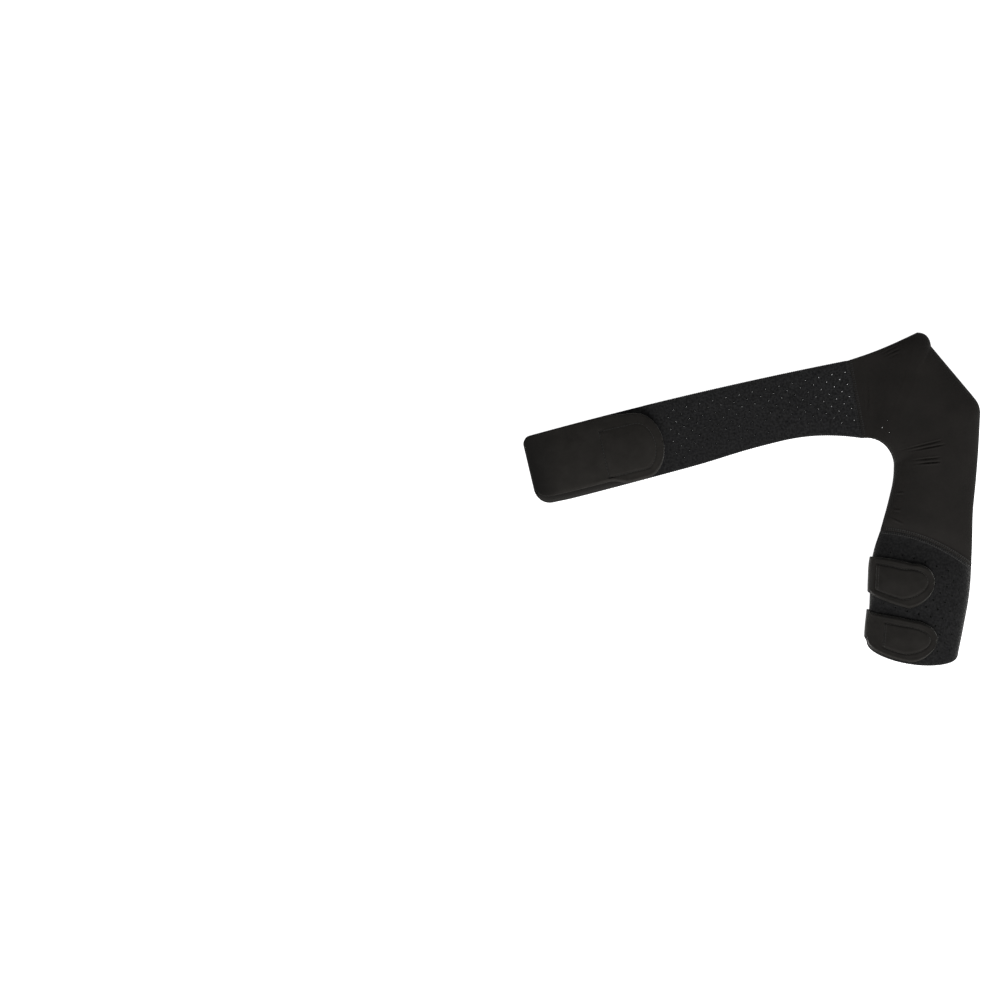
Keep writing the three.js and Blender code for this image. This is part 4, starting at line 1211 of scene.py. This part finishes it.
def wrap_point(at, turn, offset):
    """Outside of the cuff at an angle round its section, 0 at the inner edge, less on the back
    and more on the front, at a distance off its surface."""
    rib = cuff_rib(at)
    half = rib["width"] / 2
    place = rib_place(rib, half - (half + offset) * np.cos(turn))
    swell = np.abs(np.sin(turn))
    meet = MEET_SHARE * rib["crown"]
    front = meet + (rib["crown"] + offset - meet) * swell**FRONT_ROUNDNESS
    back = meet - (meet + offset) * np.minimum(1, BACK_FLATNESS * swell**BACK_ROUNDNESS)
    height = np.where(turn < 0, back, front)
    return np.concatenate([place + seam_top, height[..., None]], axis=-1)


def arm_strap(place_name, size):
    """One closing strap with the roll along its edge and the pad over its hook patch. The back
    stretch comes before the rows of the front."""
    turns, narrowing, root, lean, width = arm_rows(size, 0.0, size["reach"], 90, 40)
    back = -np.linspace(1, 0, 14)[:-1, None] * ROOT_ANGLE
    turns = np.concatenate([back, turns])
    narrowing = np.concatenate([1 + 0 * back, narrowing])
    root = np.concatenate([1 + 0 * back, root])
    lean = np.concatenate([0 * back, lean])
    across = edge_stations(56)[None, :]
    down = along_arm(size, narrowing, root, lean, across, 0.0)
    lift = (HOOK_THICKNESS + SEAM_GAP) * smoothstep(turns, 0, turn_at(size["hook_start"], width))
    at = down / CUFF_INNER_LENGTH
    outer = wrap_point(at, turns, SEAM_GAP + lift + WALL)
    inner = wrap_point(at, turns, SEAM_GAP + lift)
    edge = rim_distance(outer)
    flat = plan(np.where(turns < 0, -1, 1) * width / 2 * (1 - np.cos(turns)) + 0 * down, down)

    seam = arm_outline(size, size["hook_start"], ARM_HOOK_MARGIN)
    relief = padded_relief(edge, inside_distance(flat, seam))
    relief = relief * smoothstep(turns, 0.12, 0.4)
    waves = ARM_WAVE * unevenness(outer[..., :2], ARM_WAVE_SIZE)
    relief = relief + waves * smoothstep(turns, 0, 0.5)
    outer = wrap_point(at, turns, SEAM_GAP + lift + WALL + relief)
    outer, inner = soften_rim(outer, inner, edge, TAB_RIM_RADIUS)
    strap = grid_sheet(f"arm_closing_strap_{place_name}", outer, inner)
    dress(strap, strap_cloth, strap_cloth, f"arm_strap_{place_name}")
    return strap


def arm_patch(place_name, size):
    """Hook patch between a closing strap and the cuff."""
    turns, narrowing, root, lean, _ = arm_rows(
        size, size["hook_start"], size["reach"] - ARM_HOOK_MARGIN, 40, 20)
    across = np.linspace(0, 1, 21)[None, :]
    at = along_arm(size, narrowing, root, lean, across, ARM_HOOK_MARGIN) / CUFF_INNER_LENGTH
    patch = grid_sheet(f"arm_hook_tape_{place_name}",
                       wrap_point(at, turns, SEAM_GAP + HOOK_THICKNESS),
                       wrap_point(at, turns, SEAM_GAP))
    dress(patch, tape, tape, f"arm_hook_{place_name}")


arm_straps = {}
for place_name, size in ARM_STRAPS.items():
    arm_straps[place_name] = arm_strap(place_name, size)
    arm_patch(place_name, size)


# Threads
# The stitches that show: a flat band across the arm seam and one across the strap seam, loops
# round all the open edges, and the rows of stitches that hold the hook patches.
THREAD_SIDES = 5
BAND_HALF, BAND_PITCH, BAND_LINE = 0.0042, 0.0014, 0.0034
LOOP_REACH = 0.0024
BAND_LIFT, BAND_SIDE_LIFT = 0.00003, 0.0002
STITCH_LENGTH, STITCH_GAP = 0.0026, 0.0011
LOOP_RADIUS, STITCH_RADIUS, TAB_STITCH_RADIUS = 0.00022, 0.00022, 0.00034
CUFF_BAND_RADIUS, STRAP_BAND_RADIUS = 0.00024, 0.0002


def thread_material(name, colour):
    """Spun thread: a matte colour with fine twisted bands across it."""
    material, tree, shader = new_material(name, 0.6, 0.3)
    where = add_node(tree, "TexCoord", {}).outputs
    twist = add_node(tree, "TexNoise", {"Scale": 2500, "Vector": where["Object"]})
    raise_bumps(tree, shader, twist.outputs["Fac"], 0.0001)
    shader.inputs["Base Color"].default_value = (*colour, 1)
    shader.inputs["Sheen Weight"].default_value = 0.1
    return material


def thread_tubes(lines, side, radius):
    """Points and faces of a five-sided tube along each line, for lines as an array (lines,
    points, 3). Across a line one direction is its side, made square to it, the other square
    to both."""
    ahead = np.gradient(lines, axis=1)
    ahead = ahead / np.maximum(np.linalg.norm(ahead, axis=-1, keepdims=True), 1e-12)
    side = np.broadcast_to(side, lines.shape)
    first = side - ahead * (side * ahead).sum(axis=-1, keepdims=True)
    first = first / np.maximum(np.linalg.norm(first, axis=-1, keepdims=True), 1e-12)
    second = np.cross(ahead, first)
    turn = np.linspace(0, 2 * np.pi, THREAD_SIDES, endpoint=False)[:, None]
    rings = lines[:, :, None] + radius * (np.cos(turn) * first[:, :, None]
                                          + np.sin(turn) * second[:, :, None])
    count, length = lines.shape[:2]
    number = np.arange(count * length * THREAD_SIDES).reshape(count, length, THREAD_SIDES)
    after = np.roll(number, -1, axis=2)
    walls = np.stack([number[:, :-1], after[:, :-1], after[:, 1:], number[:, 1:]], axis=-1)
    ends = np.concatenate([number[:, 0, ::-1], number[:, -1]])
    return rings.reshape(-1, 3), walls.reshape(-1, 4).tolist() + ends.tolist()


def thread_piece(name, bundles, material):
    """One piece of several bundles of thread lines, each with its side and its radius."""
    points, faces = [], []
    for lines, side, radius in bundles:
        first = sum(len(part) for part in points)
        rings, walls = thread_tubes(lines, side, radius)
        points.append(rings)
        faces += [[first + corner for corner in face] for face in walls]
    points = np.concatenate(points)
    piece = make_piece(name, points, faces, points[:, :2])
    piece.data.materials.append(material)
    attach(piece, "root")
    return piece


def landed(places, pieces, lift):
    """Points on top of the pieces, seen from above, at places in plan, with a lift."""
    trees = []
    for piece in pieces:
        mesh = piece.data
        trees.append(BVHTree.FromPolygons([vertex.co for vertex in mesh.vertices],
                                          [tuple(face.vertices) for face in mesh.polygons]))
    flat = places.reshape(-1, 2)
    heights = np.full(len(flat), np.nan)
    for index, (x, y) in enumerate(flat):
        for tree in trees:
            spot = tree.ray_cast(Vector((x, y, 0.2)), Vector((0, 0, -1)))[0]
            if spot is not None:
                heights[index] = np.nanmax([heights[index], spot.z])
    lost = np.isnan(heights)
    heights[lost] = np.interp(np.flatnonzero(lost), np.flatnonzero(~lost), heights[~lost])
    heights = heights.reshape(places.shape[:-1]) + lift
    return np.concatenate([places, heights[..., None]], axis=-1)


def seam_band(line, pieces, radius):
    """Bundles of a flat seam along a line in plan: close rungs across it, slanted to and fro,
    and one thread along each side."""
    way = np.concatenate([[0], np.cumsum(np.linalg.norm(np.diff(line, axis=0), axis=1))])
    at = np.arange(BAND_PITCH, way[-1] - BAND_PITCH, BAND_PITCH)
    centre = np.stack([np.interp(at, way, line[:, axis]) for axis in (0, 1)], axis=-1)
    ahead = np.gradient(centre, axis=0)
    ahead = ahead / np.linalg.norm(ahead, axis=1, keepdims=True)
    across = plan(-ahead[:, 1], ahead[:, 0])
    offset = np.linspace(-BAND_HALF, BAND_HALF, 7)[None, :, None]
    slant = 0.45 * BAND_PITCH * np.where(np.arange(len(at)) % 2, 1, -1)[:, None, None]
    rungs = centre[:, None] + across[:, None] * offset + ahead[:, None] * slant * offset / BAND_HALF
    rungs = landed(rungs, pieces, BAND_LIFT)
    sides = np.concatenate([ahead, 0 * ahead[:, :1]], axis=1)[:, None]
    long_lines = landed(np.stack([centre + across * BAND_LINE, centre - across * BAND_LINE]),
                        pieces, BAND_SIDE_LIFT)
    return [(rungs, sides, radius), (long_lines, np.array([0, 0, 1.0]), 1.15 * radius)]


def edge_loops(point_at, count):
    """Loops round a cut edge: point_at(share along the edge, inset, depth in the wall) gives the
    sheet's points. Each loop runs from the outer face over the rim to the inner one."""
    share = (np.arange(count)[:, None] + 0.5) / count
    inset = LOOP_REACH * np.array([1, 0.6, 0.25, -0.05, -0.09, -0.05, 0.25, 0.6, 1])[None, :]
    depth = WALL * np.array([-0.02, -0.05, -0.03, 0.22, 0.5, 0.78, 1.03, 1.05, 1.02])[None, :]
    slant = np.linspace(-0.5, 0.5, 9)[None, :] / count
    lines = point_at(share + slant, inset, depth)
    middle = lines[:, 4]
    ahead = np.gradient(middle, axis=0)
    return lines, ahead[:, None], LOOP_RADIUS


def stitch_row(line, pieces, radius):
    """Short stitches one after another along a closed line in plan, both ends sunk in."""
    closed = np.concatenate([line, line[:1]])
    way = np.concatenate([[0], np.cumsum(np.linalg.norm(np.diff(closed, axis=0), axis=1))])
    count = int(way[-1] / (STITCH_LENGTH + STITCH_GAP))
    begin = np.arange(count) * way[-1] / count
    at = begin[:, None] + STITCH_LENGTH * np.array([0, 0.18, 0.5, 0.82, 1])[None, :]
    at = np.minimum(at, way[-1])
    places = np.stack([np.interp(at, way, closed[:, axis]) for axis in (0, 1)], axis=-1)
    points = landed(places, pieces, 0.0)
    points[..., 2] += np.array([-0.0002, 0.00014, 0.0002, 0.00014, -0.0002])
    chord = places[:, -1] - places[:, 0]
    side = np.stack([-chord[:, 1], chord[:, 0], 0 * chord[:, 0]], axis=-1)
    return points, side[:, None], radius


light_thread = thread_material("grey sewing thread", (0.0195, 0.0188, 0.0178))
dark_thread = thread_material("black sewing thread", (0.0115, 0.0112, 0.0108))
# A darker copy of the black thread, used only on the chest tab: painted shade on the stitches that
# lie away from the lamp.
shaded_tab_thread = thread_material("tab thread painted darker for shade", (0.0080, 0.0077, 0.0073))

seam_rib = sleeve_rib(np.array(1.0))
seam_distance = np.linspace(0.0012, float(seam_rib["width"]) - 0.0012, 120)
cuff_seam_line = rib_place(seam_rib, seam_distance) + seam_top
cuff_band = seam_band(cuff_seam_line, [shoulder_front, cuff_front], CUFF_BAND_RADIUS)
thread_piece("cuff_seam_thread", cuff_band, light_thread)
strap_seam_share = np.linspace(0.012, 0.988, 90)
strap_seam_line = strap_place(seam_skew * strap_seam_share, seam_width * strap_seam_share)
strap_band = seam_band(strap_seam_line, [shoulder_front, strap_front], STRAP_BAND_RADIUS)
thread_piece("strap_seam_thread", strap_band, dark_thread)


def strap_edge_point(layer, side, start, end):
    """Points of a strap layer beside its top or bottom edge."""
    def point(share, inset, depth):
        s = start + (end - start) * share + 0 * inset
        top, bottom = strap_edges(s)
        return strap_point(s, top + inset if side == "top" else bottom - inset, layer, depth)
    return point


def panel_edge_point(layer, side, start, end):
    """Points of a shoulder panel beside the neck, on its outer side, or the armpit."""
    def point(share, inset, depth):
        rib = shoulder_rib(start + (end - start) * share + 0 * inset)
        turn = np.arccos(np.clip(1 - 2 * np.maximum(inset, 0) / rib["width"], -1, 1)) / np.pi
        place = worked_point(rib, 1 - turn if side == "neck" else turn, layer, depth)
        beyond = np.minimum(inset, 0)[..., None] * rib["direction"]
        place[..., :2] += beyond if side == "armpit" else -beyond
        return place
    return point


def hem_point(layer):
    """Points of a cuff layer beside its hem."""
    def point(share, inset, depth):
        across = np.clip(0.02 + 0.96 * share, 0, 1) + 0 * inset
        return cuff_point(1 - inset / CUFF_LENGTH, across, layer, depth)
    return point


edge_bundles = []
for layer in ("front", "back"):
    edge_bundles.append(edge_loops(strap_edge_point(layer, "top", 0.003, 0.262), 100))
    edge_bundles.append(edge_loops(strap_edge_point(layer, "bottom", 0.003, 0.385), 147))
    edge_bundles.append(edge_loops(panel_edge_point(layer, "neck", 0.03, 1.0), 32))
    edge_bundles.append(edge_loops(panel_edge_point(layer, "armpit", 0.03, 3.9), 22))
thread_piece("edge_thread", edge_bundles, dark_thread)
thread_piece("hem_thread", [edge_loops(hem_point(layer), 50) for layer in ("front", "back")],
             light_thread)

tab_seam_line = strap_place(tab_seam[:, 0], tab_seam[:, 1])
stitches, stitch_sides, _ = stitch_row(tab_seam_line, [chest_tab], TAB_STITCH_RADIUS)
stitch_run = (stitches[:, 2, :2] - seam_top) @ STRAP_AXIS
stitch_drop = (stitches[:, 2, :2] - seam_top) @ STRAP_SIDE - seam_top_line
# Stitches along the tab's top and by the square end of its patch take the darker thread, painted
# shade where they lie away from the lamp; the others take the grey thread.
shaded = (stitch_drop < 0.008) | (stitch_run > PATCH_END - 0.004)
for place_name, chosen, thread in (("upper", shaded, shaded_tab_thread), ("lower", ~shaded, light_thread)):
    thread_piece(f"chest_tab_thread_{place_name}",
                 [(stitches[chosen], stitch_sides[chosen], TAB_STITCH_RADIUS)],
                 thread)
for place_name, size in ARM_STRAPS.items():
    distance, down = arm_outline(size, size["hook_start"], ARM_HOOK_MARGIN).T
    line = rib_place(cuff_rib(down / CUFF_INNER_LENGTH), distance) + seam_top
    thread_piece(f"arm_strap_thread_{place_name}",
                 [stitch_row(line, [arm_straps[place_name]], STITCH_RADIUS)],
                 light_thread)
